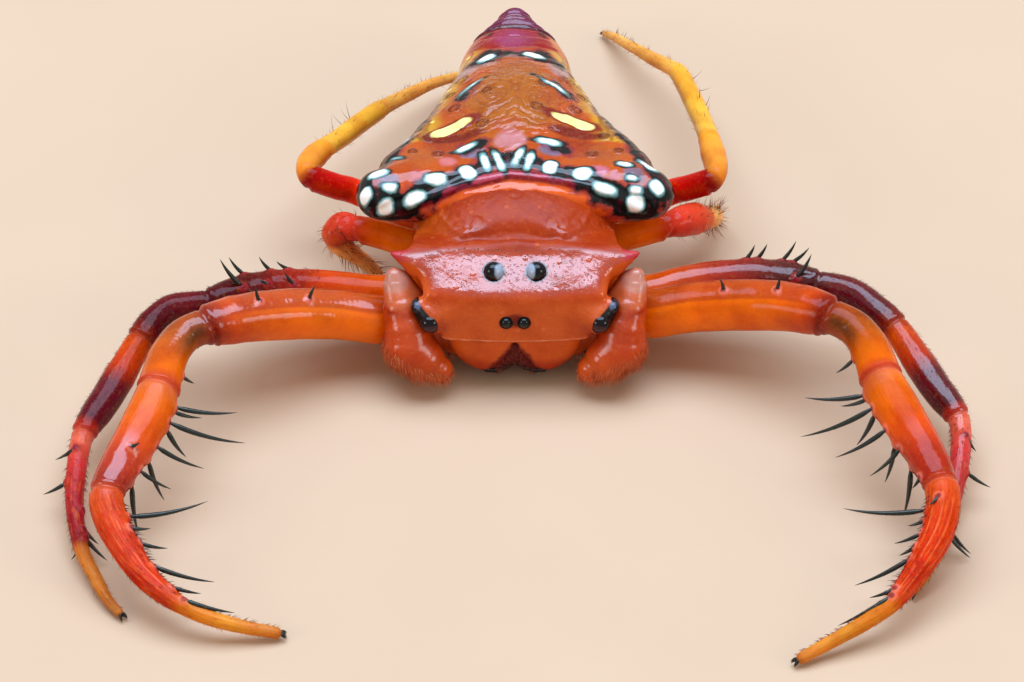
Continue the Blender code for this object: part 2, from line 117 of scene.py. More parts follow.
def span(value, low, rise, fall, high):
    """1 from rise to fall, and 0 below low and above high."""
    return step(value, low, rise) * drop(value, fall, high)


def hump(value, width):
    """1 where the value is 0, falling softly to nothing over about twice the width."""
    return np.exp(-(value / width) ** 2)


def rough_shape(parts, centre, form, reach=4.0, sides=160, rings=110):
    """A globe whose points are pulled in to the form's outer surface, ready to be cast."""
    bmesh.ops.create_uvsphere(parts, u_segments=sides, v_segments=rings, radius=1.0)
    points = np.array([v.co for v in parts.verts])
    away = points / np.linalg.norm(points, axis=1)[:, None]
    far = np.full(len(points), reach)
    for _ in range(220):
        gap = form(np.array(centre) + away * far[:, None])
        far -= np.where(gap > 0.004, np.maximum(gap * 0.6, 0.003), 0)
        if gap.max() < 0.006:
            break
    for vert, place in zip(parts.verts, np.array(centre) + away * far[:, None]):
        vert.co = place


def set_out(parts, name):
    """Turns the finished parts into one smooth-shaded piece."""
    mesh = bpy.data.meshes.new(name)
    parts.to_mesh(mesh)
    parts.free()
    mesh.polygons.foreach_set("use_smooth", [True] * len(mesh.polygons))
    piece = bpy.data.objects.new(name, mesh)
    bpy.context.scene.collection.objects.link(piece)
    return piece


def rod(parts, start, end, radius_a, radius_b, sides=20):
    """A closed tapered rod between two points."""
    along = Vector(end) - Vector(start)
    turn = Vector((0, 0, 1)).rotation_difference(along).to_matrix().to_4x4()
    middle = Matrix.Translation((Vector(start) + Vector(end)) / 2)
    bmesh.ops.create_cone(parts, cap_ends=True, segments=sides, radius1=radius_a, radius2=radius_b,
                          depth=along.length, matrix=middle @ turn)


def knob(parts, place, radius, sides, rings):
    """A closed ball, which rounds off the end of a rod."""
    bmesh.ops.create_uvsphere(parts, u_segments=sides, v_segments=rings, radius=radius,
                              matrix=Matrix.Translation(place))


def cast_skin(name, parts, form, grain):
    """Melts overlapping closed parts into one skin and settles every point onto the form."""
    rough = bpy.data.meshes.new(name)
    parts.to_mesh(rough)
    parts.free()
    mould = bpy.data.objects.new(name + "_mould", rough)
    bpy.context.scene.collection.objects.link(mould)
    melting = mould.modifiers.new("Melt", "REMESH")
    melting.mode, melting.voxel_size, melting.adaptivity = "VOXEL", grain, 0.0
    shape = mould.evaluated_get(bpy.context.evaluated_depsgraph_get())
    mesh = bpy.data.meshes.new_from_object(shape)
    bpy.data.objects.remove(mould)
    points = np.empty(len(mesh.vertices) * 3)
    mesh.vertices.foreach_get("co", points)
    points = points.reshape(-1, 3)
    nudge, longest_step, rounds = 0.002, 0.12, 4
    for _ in range(rounds):
        gap = form(points)
        lean = np.stack([(form(points + offset) - gap) / nudge for offset in np.eye(3) * nudge], axis=1)
        step_to = gap / np.maximum((lean * lean).sum(axis=1), 0.25)
        points -= np.clip(step_to, -longest_step, longest_step)[:, None] * lean
    mesh.vertices.foreach_set("co", (points * MM).ravel())
    mesh.update()
    mesh.polygons.foreach_set("use_smooth", [True] * len(mesh.polygons))
    mesh.name = name
    skin = bpy.data.objects.new(name, mesh)
    bpy.context.scene.collection.objects.link(skin)
    return skin, points


def paint(skin, tints, **measures):
    """Gives each point its colour, and any other measured values that the material reads."""
    layer = skin.data.color_attributes.new("Tint", "FLOAT_COLOR", "POINT")
    layer.data.foreach_set("color", np.hstack([tints, np.ones((len(tints), 1))]).astype(np.float32).ravel())
    for name, values in measures.items():
        skin.data.attributes.new(name, "FLOAT", "POINT").data.foreach_set("value", values.astype(np.float32))


def sheen(skin, level):
    """The gloss at each point: full where the skin faces up, worn to a third on its sides and below."""
    upward = np.empty(len(skin.data.vertices) * 3)
    skin.data.vertices.foreach_get("normal", upward)
    return level * (0.3 + 0.7 * step(upward[2::3], 0.35, 0.75))


def lay(tints, *layers):
    """Lays colours over the tints one after another, each by its own share at each point."""
    for colour, share in layers:
        tints = tints + (np.array(screen(*colour)) - tints) * np.clip(share, 0, 1)[:, None]
    return tints


def node(tree, kind, inputs=(), **settings):
    made = tree.nodes.new(kind)
    for key, value in settings.items():
        setattr(made, key, value)
    for key, value in dict(inputs).items():
        if isinstance(value, bpy.types.NodeSocket):
            tree.links.new(value, made.inputs[key])
        else:
            made.inputs[key].default_value = value
    return made


def measure(tree, name, output="Fac"):
    """A measure that was painted on the points."""
    return node(tree, "ShaderNodeAttribute", attribute_name=name).outputs[output]


def noise(tree, scale, detail, place=None):
    """Cloudy noise, so many clouds to the millimetre."""
    place = place or tree.nodes["place"].outputs["Vector"]
    inputs = {"Vector": place, "Scale": scale, "Detail": detail}
    return node(tree, "ShaderNodeTexNoise", inputs).outputs["Fac"]


def math_node(tree, operation, *values):
    made = node(tree, "ShaderNodeMath", operation=operation)
    for socket, value in zip(made.inputs, values):
        if isinstance(value, bpy.types.NodeSocket):
            tree.links.new(value, socket)
        else:
            socket.default_value = value
    return made.outputs[0]


def mix_colour(tree, share, one, two, way="MIX"):
    made = node(tree, "ShaderNodeMix", data_type="RGBA", blend_type=way)
    for key, value in ((0, share), (6, one), (7, two)):
        if isinstance(value, bpy.types.NodeSocket):
            tree.links.new(value, made.inputs[key])
        else:
            made.inputs[key].default_value = value if key == 0 else (*value, 1)
    return made.outputs[2]


def ramp(tree, value, low, high, to_low=0.0, to_high=1.0):
    made = node(tree, "ShaderNodeMapRange", interpolation_type="SMOOTHSTEP",
                inputs={"Value": value, "From Min": low, "From Max": high,
                        "To Min": to_low, "To Max": to_high})
    return made.outputs["Result"]


def times(tree, one, two):
    return math_node(tree, "MULTIPLY", one, two)


def plus(tree, one, two):
    return math_node(tree, "ADD", one, two)


def emboss(tree, height, distance, invert=False):
    """Raises the surface by the height, on top of any relief that it has already."""
    normal = tree.nodes["Principled BSDF"].inputs["Normal"]
    rise = node(tree, "ShaderNodeBump", {"Height": height, "Distance": distance * MM, "Strength": 1.0},
                invert=invert)
    if normal.links:
        tree.links.new(normal.links[0].from_socket, rise.inputs["Normal"])
    tree.links.new(rise.outputs["Normal"], normal)


def recolour(tree, share, colour, way="MIX"):
    """Lays a colour over the one that the shader has already, by a share at each place."""
    base = tree.nodes["Principled BSDF"].inputs["Base Color"]
    tree.links.new(mix_colour(tree, share, base.links[0].from_socket, colour, way), base)


def new_finish(name, tinted=True):
    """A new material that shows the painted tint, with a node for the place on the piece in millimetres."""
    made = bpy.data.materials.new(name)
    made.use_nodes = True
    tree = made.node_tree
    node(tree, "ShaderNodeMapping", {"Vector": node(tree, "ShaderNodeTexCoord").outputs["Object"],
                                     "Scale": (1 / MM, 1 / MM, 1 / MM)}, name="place")
    shader = tree.nodes["Principled BSDF"]
    if tinted:
        tree.links.new(measure(tree, "Tint", "Color"), shader.inputs["Base Color"])
    return made, tree, shader


def cuticle(name, glow, polish, granules, bump=0.01, cell=6.5):
    """Hard clear cuticle: the painted tint, mottled, with raised pale granules, under a clear gloss."""
    made, tree, shader = new_finish(name)
    cloud, fine = noise(tree, 2.2, 6.0), noise(tree, 20.0, 4.0)
    dots = node(tree, "ShaderNodeTexVoronoi", {"Vector": tree.nodes["place"].outputs["Vector"], "Scale": cell,
                                               "Randomness": 0.9}).outputs["Distance"]
    grain = ramp(tree, dots, 0.08, 0.2, 1.0, 0.0)
    recolour(tree, ramp(tree, cloud, 0.4, 0.7, 0.0, 0.45), (0.62, 0.26, 0.1), "MULTIPLY")
    recolour(tree, ramp(tree, fine, 0.5, 0.75, 0.0, 0.08), (0.8, 0.4, 0.0), "SCREEN")
    recolour(tree, times(tree, grain, granules * 0.5), screen(232, 120, 80))
    emboss(tree, plus(tree, times(tree, grain, granules), times(tree, fine, 0.3)), bump)
    smooth = ramp(tree, fine, 0.3, 0.7, polish * 0.75, polish * 1.35)
    tree.links.new(plus(tree, smooth, times(tree, measure(tree, "Dull"), 0.34)), shader.inputs["Roughness"])
    tree.links.new(measure(tree, "Gloss"), shader.inputs["Specular IOR Level"])
    for setting, value in (("Subsurface Weight", glow), ("Subsurface Radius", (1.0, 0.2, 0.04)),
                           ("Subsurface Scale", 0.3 * MM), ("IOR", 1.6), ("Specular IOR Level", 0.42),
                           ("Specular Tint", (0.85, 0.93, 1.0, 1))):
        shader.inputs[setting].default_value = value
    return made


def finish_piece(piece, material, slot, *nodes):
    """Gives the piece its material, and says what it rides on and which solids it stands for. The slot is not
    used.
    """
    piece.data.materials.append(material)
    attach(piece, "root")
    if nodes:
        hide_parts(*nodes)


# each eye: its middle, then its radius
EYES = {"rear_middle": ((0.33, -0.74, 1.965), 0.155), "front_middle": ((0.137, -1.225, 1.35), 0.088),
        "front_side": ((1.31, -1.22, 1.33), 0.155), "rear_side": ((1.49, -1.05, 1.5), 0.11)}
# the middle line of the left horn, from its root to its point
HORN = ((1.0, -0.44, 1.7), (1.45, -0.42, 1.86), (1.72, -0.4, 1.95), (1.93, -0.37, 2.04))

thorax = ball((0, 0.82, 1.28), (1.6, 1.3, 1.02))
block = [slope((0, -0.43, 2.13), (0, -0.44, 0.9), 0.02), slope((0, -1.245, 1.35), (0, -0.968, 0.25), 0.06),
         slope((0, -0.4, 2.14), (0, 0.42, 0.91)), slope((0, -1.33, 1.0), (0, -0.15, -0.98)),
         slope((0, 0.6, 1.3), (0, 1, 0))]
block += [slope(flip(side, (1.44, 0, 1.5)), (side, -0.1, -0.4)) for side in (1, -1)]
crest = [bar(mirror(side, places), radii) for side in (1, -1) for places, radii in (
    (((0.75, -0.42, 1.66), (1.5, -0.42, 1.84)), (0.5, 0.2)), (HORN, (0.3, 0.19, 0.11, 0.03)),
    (((0.6, -0.75, 1.4), (1.26, -1.08, 1.37)), (0.42, 0.18)),
    (((1.27, -1.16, 1.29), (1.48, -1.0, 1.5)), (0.17, 0.13)))]
head = melt([meet(block, 0.04), *crest], 0.045)
forehead = slope((0, -0.43, 2.135), (0, -0.44, 0.9), 0.02)


def flat_top(p):
    return forehead(p) + 0.035 * step(abs(p[:, 0]), 1.0, 1.6)


head = meet([head, flat_top], 0.022)
cheeks = [ball(flip(side, (1.9, -1.03, 2.02)), (0.63, 0.52, 0.46)) for side in (1, -1)]
for cheek in cheeks:
    head = hollow(head, cheek, 0.035)
brow = bar(((-1.45, -0.4, 1.95), (-1.0, -0.34, 2.03), (0, -0.3, 2.08), (1.0, -0.34, 2.03),
            (1.45, -0.4, 1.95)), (0.05, 0.09, 0.12, 0.09, 0.05))
carapace_form = melt([thorax, head, brow], 0.04)


def ripple(p, scale, seed):
    """Slow uneven waves through space, between -1 and 1, for folds and wavering edges."""
    draw = np.random.default_rng(seed)
    total = np.zeros(len(p))
    for octave in range(4):
        way = draw.normal(size=(3, 3)) * scale * 1.9 ** octave
        phase = draw.uniform(0, 6.3, 3)
        total += np.prod(np.sin(p @ way.T + phase), axis=1) * 0.62 ** octave
    return total


# the pits of the thorax: middle in plan, then radius
PITS = ((-1.12, 0.9, 0.13), (-1.28, 0.55, 0.1), (-1.0, 0.4, 0.09), (1.1, 0.86, 0.13), (1.26, 0.5, 0.1),
        (0.96, 0.36, 0.09), (-0.62, 0.22, 0.1), (0.6, 0.2, 0.1), (0, 0.75, 0.12))


def carapace_detail(p):
    x, y, z = p.T
    wave = ripple(p, 1.6, 3)
    saddle = 0.045 * hump(y - 0.02 + 0.1 * x * x, 0.13) * drop(abs(x), 1.0, 1.4) * step(z, 1.5, 1.8)
    folds = sum(0.004 * hump(y - at - 0.03 * wave + 0.12 * x * x, 0.022)
                for at in (-0.12, 0.06)) * step(z, 1.6, 1.8) * drop(abs(x), 1.1, 1.3)
    arches = 0.035 * hump(abs(x) - 0.72, 0.22) * hump(y - 0.1 - 0.1 * (abs(x) - 0.72) ** 2, 0.075)
    rim = 0.014 * hump(np.hypot(x / 1.36, (y - 0.75) / 1.05) - 0.86 - 0.02 * wave, 0.03) * step(z, 1.3, 1.6)
    pits = sum(0.008 * hump(np.hypot(x - px, y - py) - size, 0.03) for px, py, size in PITS)
    pits = pits * step(z, 1.4, 1.6)
    lip = 0.012 * hump(z - 1.02, 0.03) * drop(y, -1.2, -1.1)
    rough = 0.004 * ripple(p, 7.0, 5) * step(y, -0.55, -0.3) + 0.004 * ripple(p, 3.0, 15)
    return carapace_form(p) + saddle + folds - arches - rim + pits - rough - lip


parts = bmesh.new()
rough_shape(parts, (0, 0.0, 1.4), carapace_form, 3.2)
carapace, p = cast_skin("carapace", parts, carapace_detail, 0.024)
x, y, z = p.T
wave = ripple(p, 1.3, 7)
facet = drop(abs(flat_top(p)), 0.015, 0.05) * drop(y, -0.44, -0.38)
tints = np.tile(screen(186, 62, 14), (len(p), 1))
tints = lay(
    tints,
    ((196, 84, 32), drop(y, -1.2, -1.0)),
    ((178, 60, 30), facet),
    ((158, 50, 12), step(y, -0.5, -0.4) * 0.85),
    ((176, 78, 14), step(y, 0.0, 0.3) * step(wave, -0.2, 0.5) * 0.5),
    ((150, 30, 10), span(y, -0.4, -0.3, 0.1, 0.35) * step(wave, 0, 0.6) * 0.5),
    ((176, 26, 46), step(abs(x), 1.55, 1.8) * step(z, 1.8, 1.9)),
    ((190, 80, 20), drop(z, 0.8, 1.1)))
pigment = np.full(len(p), 9.0)
for side in (1, -1):
    stripe = bar(mirror(side, ((1.29, -1.24, 1.3), (1.38, -1.17, 1.38), (1.54, -0.99, 1.55))),
                 (0.12, 0.14, 0.09))(p)
    halo = bar(mirror(side, ((1.2, -1.3, 1.24), (1.3, -1.2, 1.3))), (0.16, 0.18))(p)
    tints = lay(tints, ((160, 50, 16), drop(halo, -0.08, 0.08) * 0.6))
    ring = ball(flip(side, EYES["rear_middle"][0]), 0.168)(p)
    middle = ball(flip(side, EYES["front_middle"][0]), 0.1)(p)
    pigment = np.minimum(pigment, np.minimum(stripe, np.minimum(ring, middle)))
between = ball((0, -1.25, 1.39), (0.13, 0.12, 0.09))(p)
tints = lay(tints, ((110, 20, 8), drop(between, -0.02, 0.06)))
# painted light: the cheek hollows are laid lighter, to cancel the shade that falls in them
cheek = np.min([cheek(p) for cheek in cheeks], axis=0)
tints = lay(tints, ((206, 84, 16), drop(cheek, 0.02, 0.14) * (1 - facet) * 0.8))
arcs = hump(abs(x) - 0.72, 0.28) * hump(y - 0.13, 0.1)
lip = np.where(y < -1.1, abs(z - 1.04), 9.0)
worn = step(y, -0.46, -0.4) * (1 - arcs)
paint(carapace, tints, Pigment=pigment, Facet=facet, Lip=lip, Dull=0.5 * drop(y, -1.15, -1.0) + 0.7 * worn,
      Gloss=sheen(carapace, 0.45 + 0.5 * facet - 0.3 * worn))


def carapace_cuticle():
    """The clear cuticle with fine cracks on the forehead, a pale lip, and black around the eyes."""
    made = cuticle("amber_carapace", glow=0.16, polish=0.12, granules=0.45, bump=0.01, cell=3.6)
    tree = made.node_tree
    cracks = times(tree, ramp(tree, noise(tree, 20.0, 3.0), 0.59, 0.64), measure(tree, "Facet"))
    cracks = times(tree, cracks, ramp(tree, noise(tree, 1.6, 2.0), 0.36, 0.56))
    emboss(tree, cracks, 0.008, invert=True)
    recolour(tree, times(tree, cracks, 0.7), screen(120, 26, 20))
    recolour(tree, ramp(tree, measure(tree, "Lip"), 0.004, 0.016, 0.5, 0.0), screen(236, 160, 120))
    recolour(tree, ramp(tree, measure(tree, "Pigment"), 0.0, 0.02, 1.0, 0.0), screen(16, 5, 8))
    return made


finish_piece(carapace, carapace_cuticle(), "carapace", "cephalothorax")

# Eyes
# Eight clear lenses: a large pair on top of the forehead, a small pair low in the middle
# of the face, and two at each side of the head. They are hard, black and very smooth.


def lens_glass(name, dark, painted_glint):
    """Dark lens, with a painted reflection: a pale patch inside it on the side that its measure names."""
    made, tree, shader = new_finish(name, tinted=False)
    cloud = noise(tree, 5.0, 3.0)
    waver = times(tree, math_node(tree, "SUBTRACT", cloud, 0.5), 0.35)
    share = plus(tree, measure(tree, "painted_glint_side"), waver)
    tree.links.new(mix_colour(tree, ramp(tree, share, 0.5, 0.75), dark, painted_glint), shader.inputs["Base Color"])
    tree.links.new(ramp(tree, cloud, 0.3, 0.7, 0.04, 0.1), shader.inputs["Roughness"])
    shader.inputs["Specular IOR Level"].default_value = 0.4
    shader.inputs["Specular Tint"].default_value = (0.75, 0.88, 1.0, 1)
    return made


# the way that each lens's painted reflection faces, for the left eye
PAINTED_GLINTS = {"rear_middle": (-0.75, -0.35, 0.3), "front_middle": (-0.3, -0.5, -0.2),
          "front_side": (-0.2, -0.9, -0.5), "rear_side": (-0.3, -0.3, 0.9)}
# each lens: its dark glass, then the colour of its painted reflection
LENS_FINISH = {"rear_middle": lens_glass("lens_with_painted_grey_glint", screen(8, 8, 10), screen(150, 165, 185)),
               "front_middle": lens_glass("green_lens", screen(4, 8, 5), screen(12, 20, 12)),
               "front_side": lens_glass("maroon_lens", screen(14, 3, 6), screen(56, 10, 18)),
               "rear_side": lens_glass("lens_with_painted_blue_glint", screen(12, 8, 14), screen(84, 92, 120))}
for kind, (centre, radius) in EYES.items():
    for hand, side in (("left", 1), ("right", -1)):
        parts = bmesh.new()
        bmesh.ops.create_uvsphere(parts, u_segments=48, v_segments=32, radius=radius * MM,
                                  matrix=Matrix.Translation(Vector(flip(side, centre)) * MM))
        eye = set_out(parts, f"lens_{kind}_{hand}")
        toward = Vector(flip(side, PAINTED_GLINTS[kind])).normalized()
        eye.data.attributes.new("painted_glint_side", "FLOAT", "POINT").data.foreach_set("value", [
            (v.co / MM - Vector(flip(side, centre))).normalized().dot(toward) for v in eye.data.vertices])
        finish_piece(eye, LENS_FINISH[kind], "eye", f"eye_{kind}_{hand}")

# Jaws
# Two stout chelicerae hang under the face, orange in front and dark red and hairy where
# they face each other, each ending in a short dark fang that folds across the tip.

amber_jaw = cuticle("amber_jaw", glow=0.2, polish=0.16, granules=0.15)
FANG_RADII = (0.045, 0.042, 0.034, 0.01)
for hand, side in (("left", 1), ("right", -1)):
    def barrel(q, side=side):
        return (np.hypot((side * q[:, 0] - 0.37) / 0.67, (q[:, 2] - 0.92) / 0.7) - 1) * 0.67
    jaw_form = meet([barrel, slope((0.01 * side, 0, 0), (-side, 0, 0)), slope((0, -0.4, 0), (0, 1, 0)),
                     slope((0, -1.315, 1.0), (0.1 * side, -0.98, -0.12), 0.06),
                     slope((0, -1.225, 1.35), (0, -0.968, 0.25), 0.06)], 0.045)
    inner_face = slope((0.0, -1.32, 0.99), (0.47 * side, 0.78, 0.41))
    jaw_form = hollow(jaw_form, inner_face, 0.015)
    parts = bmesh.new()
    rough_shape(parts, flip(side, (0.5, -0.75, 0.95)), jaw_form, 1.6, 96, 64)
    jaw, p = cast_skin(f"jaw_{hand}", parts, jaw_form, 0.018)
    x, y, z = p.T
    bevel = inner_face(p)
    tints = np.tile(screen(204, 84, 26), (len(p), 1))
    tints = lay(
        tints,
        ((176, 54, 16), drop(z, 0.4, 0.62)),
        ((170, 50, 16), step(abs(x), 0.85, 1.05) * 0.6),
        ((110, 14, 12), step(-bevel - 0.02 * ripple(p, 6, 2), -0.06, -0.01)),
        ((22, 6, 8), drop(bevel, 0.02, 0.06) * drop(z, 0.34, 0.42)),
        ((110, 26, 10), drop(z, 0.26, 0.36)))
    paint(jaw, tints, Dull=np.full(len(p), 0.5), Gloss=sheen(jaw, 0.35))
    finish_piece(jaw, amber_jaw, "jaw", f"chelicera_{hand}")
    parts = bmesh.new()
    curve = mirror(side, ((0.44, -1.14, 0.3), (0.31, -1.17, 0.31), (0.16, -1.14, 0.34), (0.03, -1.1, 0.37)))
    for a, b, ra, rb in zip(curve, curve[1:], FANG_RADII, FANG_RADII[1:]):
        rod(parts, a, b, ra, rb, 16)
        knob(parts, a, ra, 16, 12)
    fang, p = cast_skin(f"fang_{hand}", parts, bar(curve, FANG_RADII), 0.01)
    paint(fang, np.tile(screen(26, 5, 7), (len(p), 1)), Gloss=sheen(fang, 0.5))
    finish_piece(fang, amber_jaw, "jaw")

# Mouth and breast plate
# Under the head lie the dark red mouth parts between the jaws, the flat breast plate, and
# the hips of the legs. They are one low skin that closes the body from below.

under = melt([ball((0, -0.78, 0.66), (0.45, 0.36, 0.28)), ball((0, 0.65, 0.72), (0.85, 1.2, 0.3)),
              bar(((0, 1.9, 1.1), (0, 1.2, 0.95)), (0.26, 0.3)),
              *[bar(mirror(side, ((0.6, -0.5, 0.75), (0.25, -0.95, 0.6))), (0.26, 0.15))
                for side in (1, -1)]], 0.06)
parts = bmesh.new()
rough_shape(parts, (0, 0.4, 0.76), under, 2.4, 96, 64)
underside, p = cast_skin("breast_plate", parts, under, 0.03)
x, y, z = p.T
tints = np.tile(screen(190, 84, 30), (len(p), 1))
tints = lay(tints, ((90, 12, 10), drop(y, -0.75, -0.45)))
paint(underside, tints, Gloss=sheen(underside, 0.4))
finish_piece(underside, cuticle("amber_plate", glow=0.2, polish=0.2, granules=0.3), "carapace")

# Palps
# The two short feelers beside the jaws. Each rises to a pale clear knee and hangs down
# again to a fat orange end with a fringe of hair. Each is one skin over its bent line.

PALP_THIGH = ((0.95, -0.8, 0.58), (1.38, -0.78, 1.04), (1.76, -0.5, 1.56))
PALP_SHIN = ((1.87, -0.52, 1.68), (1.86, -0.62, 1.54), (1.77, -0.84, 1.28), (1.67, -1.0, 1.02),
             (1.64, -1.12, 0.76), (1.42, -1.22, 0.58), (1.18, -1.3, 0.45))
THIGH_RADII = (0.2, 0.2, 0.17)
PALP_RADII = (0.13, 0.18, 0.27, 0.35, 0.4, 0.34, 0.22)
amber_palp = cuticle("amber_palp", glow=0.3, polish=0.18, granules=0.15)
for hand, side in (("left", 1), ("right", -1)):
    thigh = mirror(side, PALP_THIGH)
    shin = mirror(side, PALP_SHIN)
    lengths = ((thigh, THIGH_RADII), (shin, PALP_RADII))
    palp_form = melt([bar(*length) for length in lengths], 0.03)
    parts = bmesh.new()
    for places, radii in lengths:
        for a, b, ra, rb in zip(places, places[1:], radii, radii[1:]):
            rod(parts, a, b, ra, rb, 28)
        for a, ra in zip(places, radii):
            knob(parts, a, ra, 28, 18)
    palp, p = cast_skin(f"palp_skin_{hand}", parts, palp_form, 0.02)
    x, y, z = p.T
    tints = np.tile(screen(188, 66, 22), (len(p), 1))
    tints = lay(
        tints,
        ((196, 96, 56), step(z, 1.38, 1.5)),
        ((150, 30, 14), hump(z - 1.38, 0.04) * 0.6))
    knee = np.linalg.norm((p - np.array(flip(side, (1.86, -0.62, 1.66)))) / (0.26, 0.26, 0.22), axis=1)
    tints = lay(
        tints,
        ((190, 128, 112), drop(knee, 0.6, 1.15)),
        ((206, 96, 66), drop(abs(knee - 1.0), 0.02, 0.12) * 0.6),
        ((190, 76, 22), drop(z, 0.6, 0.9)))
    paint(palp, tints, Gloss=sheen(palp, 0.55), Dull=0.7 * step(0.5 * abs(x) - 0.2 - z, -0.2, 0.0))
    finish_piece(palp, amber_palp, "palp", f"palp_{hand}")

# Abdomen and spinnerets
# The broad abdomen is soft skin drawn tight into a triangle: two dark corners at the
# front, a narrow ringed tail with the spinnerets under it behind. White and yellow spots
# lie in a black band. It is one skin, and its spots are painted at their places in plan.


def web(corners, radii):
    """A flat three-cornered form, rounded at its edges."""
    corners, radii = np.array(corners, float), np.array(radii)
    one, two = corners[1] - corners[0], corners[2] - corners[0]
    level = np.linalg.inv(np.array([one, two, np.cross(one, two)]).T)
    rim = bar([*corners, corners[0]], [*radii, radii[0]])

    def form(p):
        u, v, out = level @ (p - corners[0]).T
        thick = radii[0] * (1 - u - v) + radii[1] * u + radii[2] * v
        flat = abs(out) * np.linalg.norm(np.cross(one, two)) - thick
        return np.where((u >= 0) & (v >= 0) & (u + v <= 1), flat, rim(p))
    return form


ABDOMEN_GRAIN = 0.0265
# the middle line of the ringed tail, then its radius at each stop
TAIL = ((0, 5.8, 1.2), (0, 6.05, 1.15), (0, 6.26, 1.11), (0, 6.45, 1.07), (0, 6.56, 1.05))
TAIL_RADII = (0.28, 0.29, 0.27, 0.2, 0.1)
abdomen_parts = [web(((-1.68, 1.14, 1.95), (1.68, 1.14, 1.95), (0, 5.66, 1.24)), (0.42, 0.42, 0.34)),
                 ball((0, 2.4, 1.5), (1.32, 2.2, 1.02)), ball((0, 4.72, 1.28), (0.88, 1.12, 0.56))]
for side in (1, -1):
    abdomen_parts.append(bar((flip(side, (1.2, 1.3, 1.9)), flip(side, (2.09, 1.05, 1.98))), (0.42, 0.38)))
abdomen_parts.append(bar(TAIL, TAIL_RADII))
abdomen_parts += [bar(((1.86, 1.66, 1.95), (1.55, 2.14, 1.93), (1.25, 2.58, 1.88)), (0.29, 0.29, 0.25)),
                  bar(((-1.82, 1.66, 1.95), (-1.47, 2.06, 1.93), (-1.26, 2.5, 1.88)), (0.28, 0.27, 0.24))]
abdomen_form = melt(abdomen_parts, 0.1)
teats = []
for side in (1, -1):
    for root in ((0.11, 6.05, 0.98), (0.13, 5.84, 0.9)):
        teats.append((flip(side, root), flip(side, (root[0] + 0.02, root[1] + 0.26, root[2] - 0.2))))
whole_form = melt([abdomen_form, *[bar(t, (0.12, 0.07)) for t in teats]], 0.02)

# each spot: the two ends of its middle line on the skin, then half its width
SPOTS = {
    "White": (
        ((-2.05, 0.68, 2.03), (-1.98, 0.68, 2.05), 0.1), ((-2.34, 0.8, 2.13), (-2.31, 0.8, 2.18), 0.105),
        ((-2.2, 1.07, 2.34), (-2.05, 1.12, 2.38), 0.085), ((-1.89, 1.55, 2.2), (-1.8, 1.53, 2.26), 0.05),
        ((-1.74, 2.02, 2.1), (-1.66, 2.2, 2.08), 0.06), ((-1.97, 0.84, 2.31), (-1.9, 0.83, 2.31), 0.06),
        ((-1.63, 0.72, 2.14), (-1.48, 0.75, 2.2), 0.09), ((-1.29, 0.98, 2.37), (-1.15, 0.98, 2.37), 0.095),
        ((-0.76, 1.15, 2.39), (-0.71, 1.08, 2.38), 0.12), ((-0.86, 1.68, 2.34), (-0.69, 1.77, 2.37), 0.065),
        ((-0.49, 1.45, 2.42), (-0.43, 1.24, 2.41), 0.06), ((-0.3, 1.45, 2.44), (-0.22, 1.22, 2.44), 0.055),
        ((-0.82, 3.22, 2.22), (-0.6, 3.42, 2.27), 0.034), ((-0.51, 4.44, 1.92), (-0.41, 4.5, 1.93), 0.084),
        ((1.83, 0.7, 2.1), (1.9, 0.69, 2.1), 0.108), ((2.19, 0.87, 2.31), (2.22, 0.84, 2.28), 0.11),
        ((1.98, 1.42, 2.28), (2.15, 1.27, 2.32), 0.078), ((1.6, 2.5, 2.02), (1.7, 2.28, 2.04), 0.06),
        ((1.4, 2.88, 1.96), (1.46, 2.72, 1.98), 0.045), ((1.64, 1.29, 2.41), (1.74, 1.27, 2.41), 0.06),
        ((1.79, 0.98, 2.39), (1.86, 0.97, 2.38), 0.05), ((1.83, 0.8, 2.29), (1.91, 0.8, 2.29), 0.058),
        ((1.31, 0.86, 2.3), (1.48, 0.81, 2.26), 0.085), ((1.0, 1.07, 2.39), (1.09, 1.09, 2.4), 0.112),
        ((0.54, 1.19, 2.4), (0.56, 1.26, 2.4), 0.12), ((0.41, 1.8, 2.44), (0.64, 1.81, 2.38), 0.06),
        ((0.19, 1.21, 2.43), (0.24, 1.42, 2.44), 0.058), ((0.02, 1.33, 2.44), (0.09, 1.53, 2.46), 0.058),
        ((0.48, 3.39, 2.33), (0.73, 3.22, 2.27), 0.042), ((0.23, 4.53, 1.94), (0.37, 4.49, 1.93), 0.084)),
    "Yellow": (
        ((-1.22, 2.18, 2.22), (-0.8, 2.37, 2.34), 0.115), ((0.7, 2.47, 2.38), (1.12, 2.39, 2.23), 0.125))}
# the black band along the front edge and down both flanks: its middle line, then half its width at each stop
BAND = (
    (-2.3, 0.98, 2.1), (-2.18, 0.72, 1.95), (-1.72, 0.66, 2.0), (-1.4, 0.8, 2.23), (-1.09, 0.95, 2.35),
    (-0.74, 1.1, 2.38), (-0.4, 1.3, 2.41), (-0.08, 1.36, 2.44), (0.25, 1.28, 2.43), (0.56, 1.18, 2.4),
    (0.92, 1.04, 2.38), (1.24, 0.9, 2.32), (1.6, 0.74, 2.15), (1.93, 0.68, 2.0), (2.28, 0.82, 2.2))
BAND_RADII = (0.12, 0.16, 0.14, 0.14, 0.12, 0.14, 0.12, 0.12, 0.12, 0.14, 0.13, 0.13, 0.13, 0.15, 0.12)
FLANK_BAND = (
    (2.34, 0.95, 2.1), (2.14, 1.35, 2.26), (1.92, 1.85, 2.14), (1.62, 2.4, 2.05), (1.4, 2.85, 1.98),
    (1.24, 3.3, 1.92))
FLANK_RADII = (0.17, 0.17, 0.15, 0.13, 0.1, 0.03)
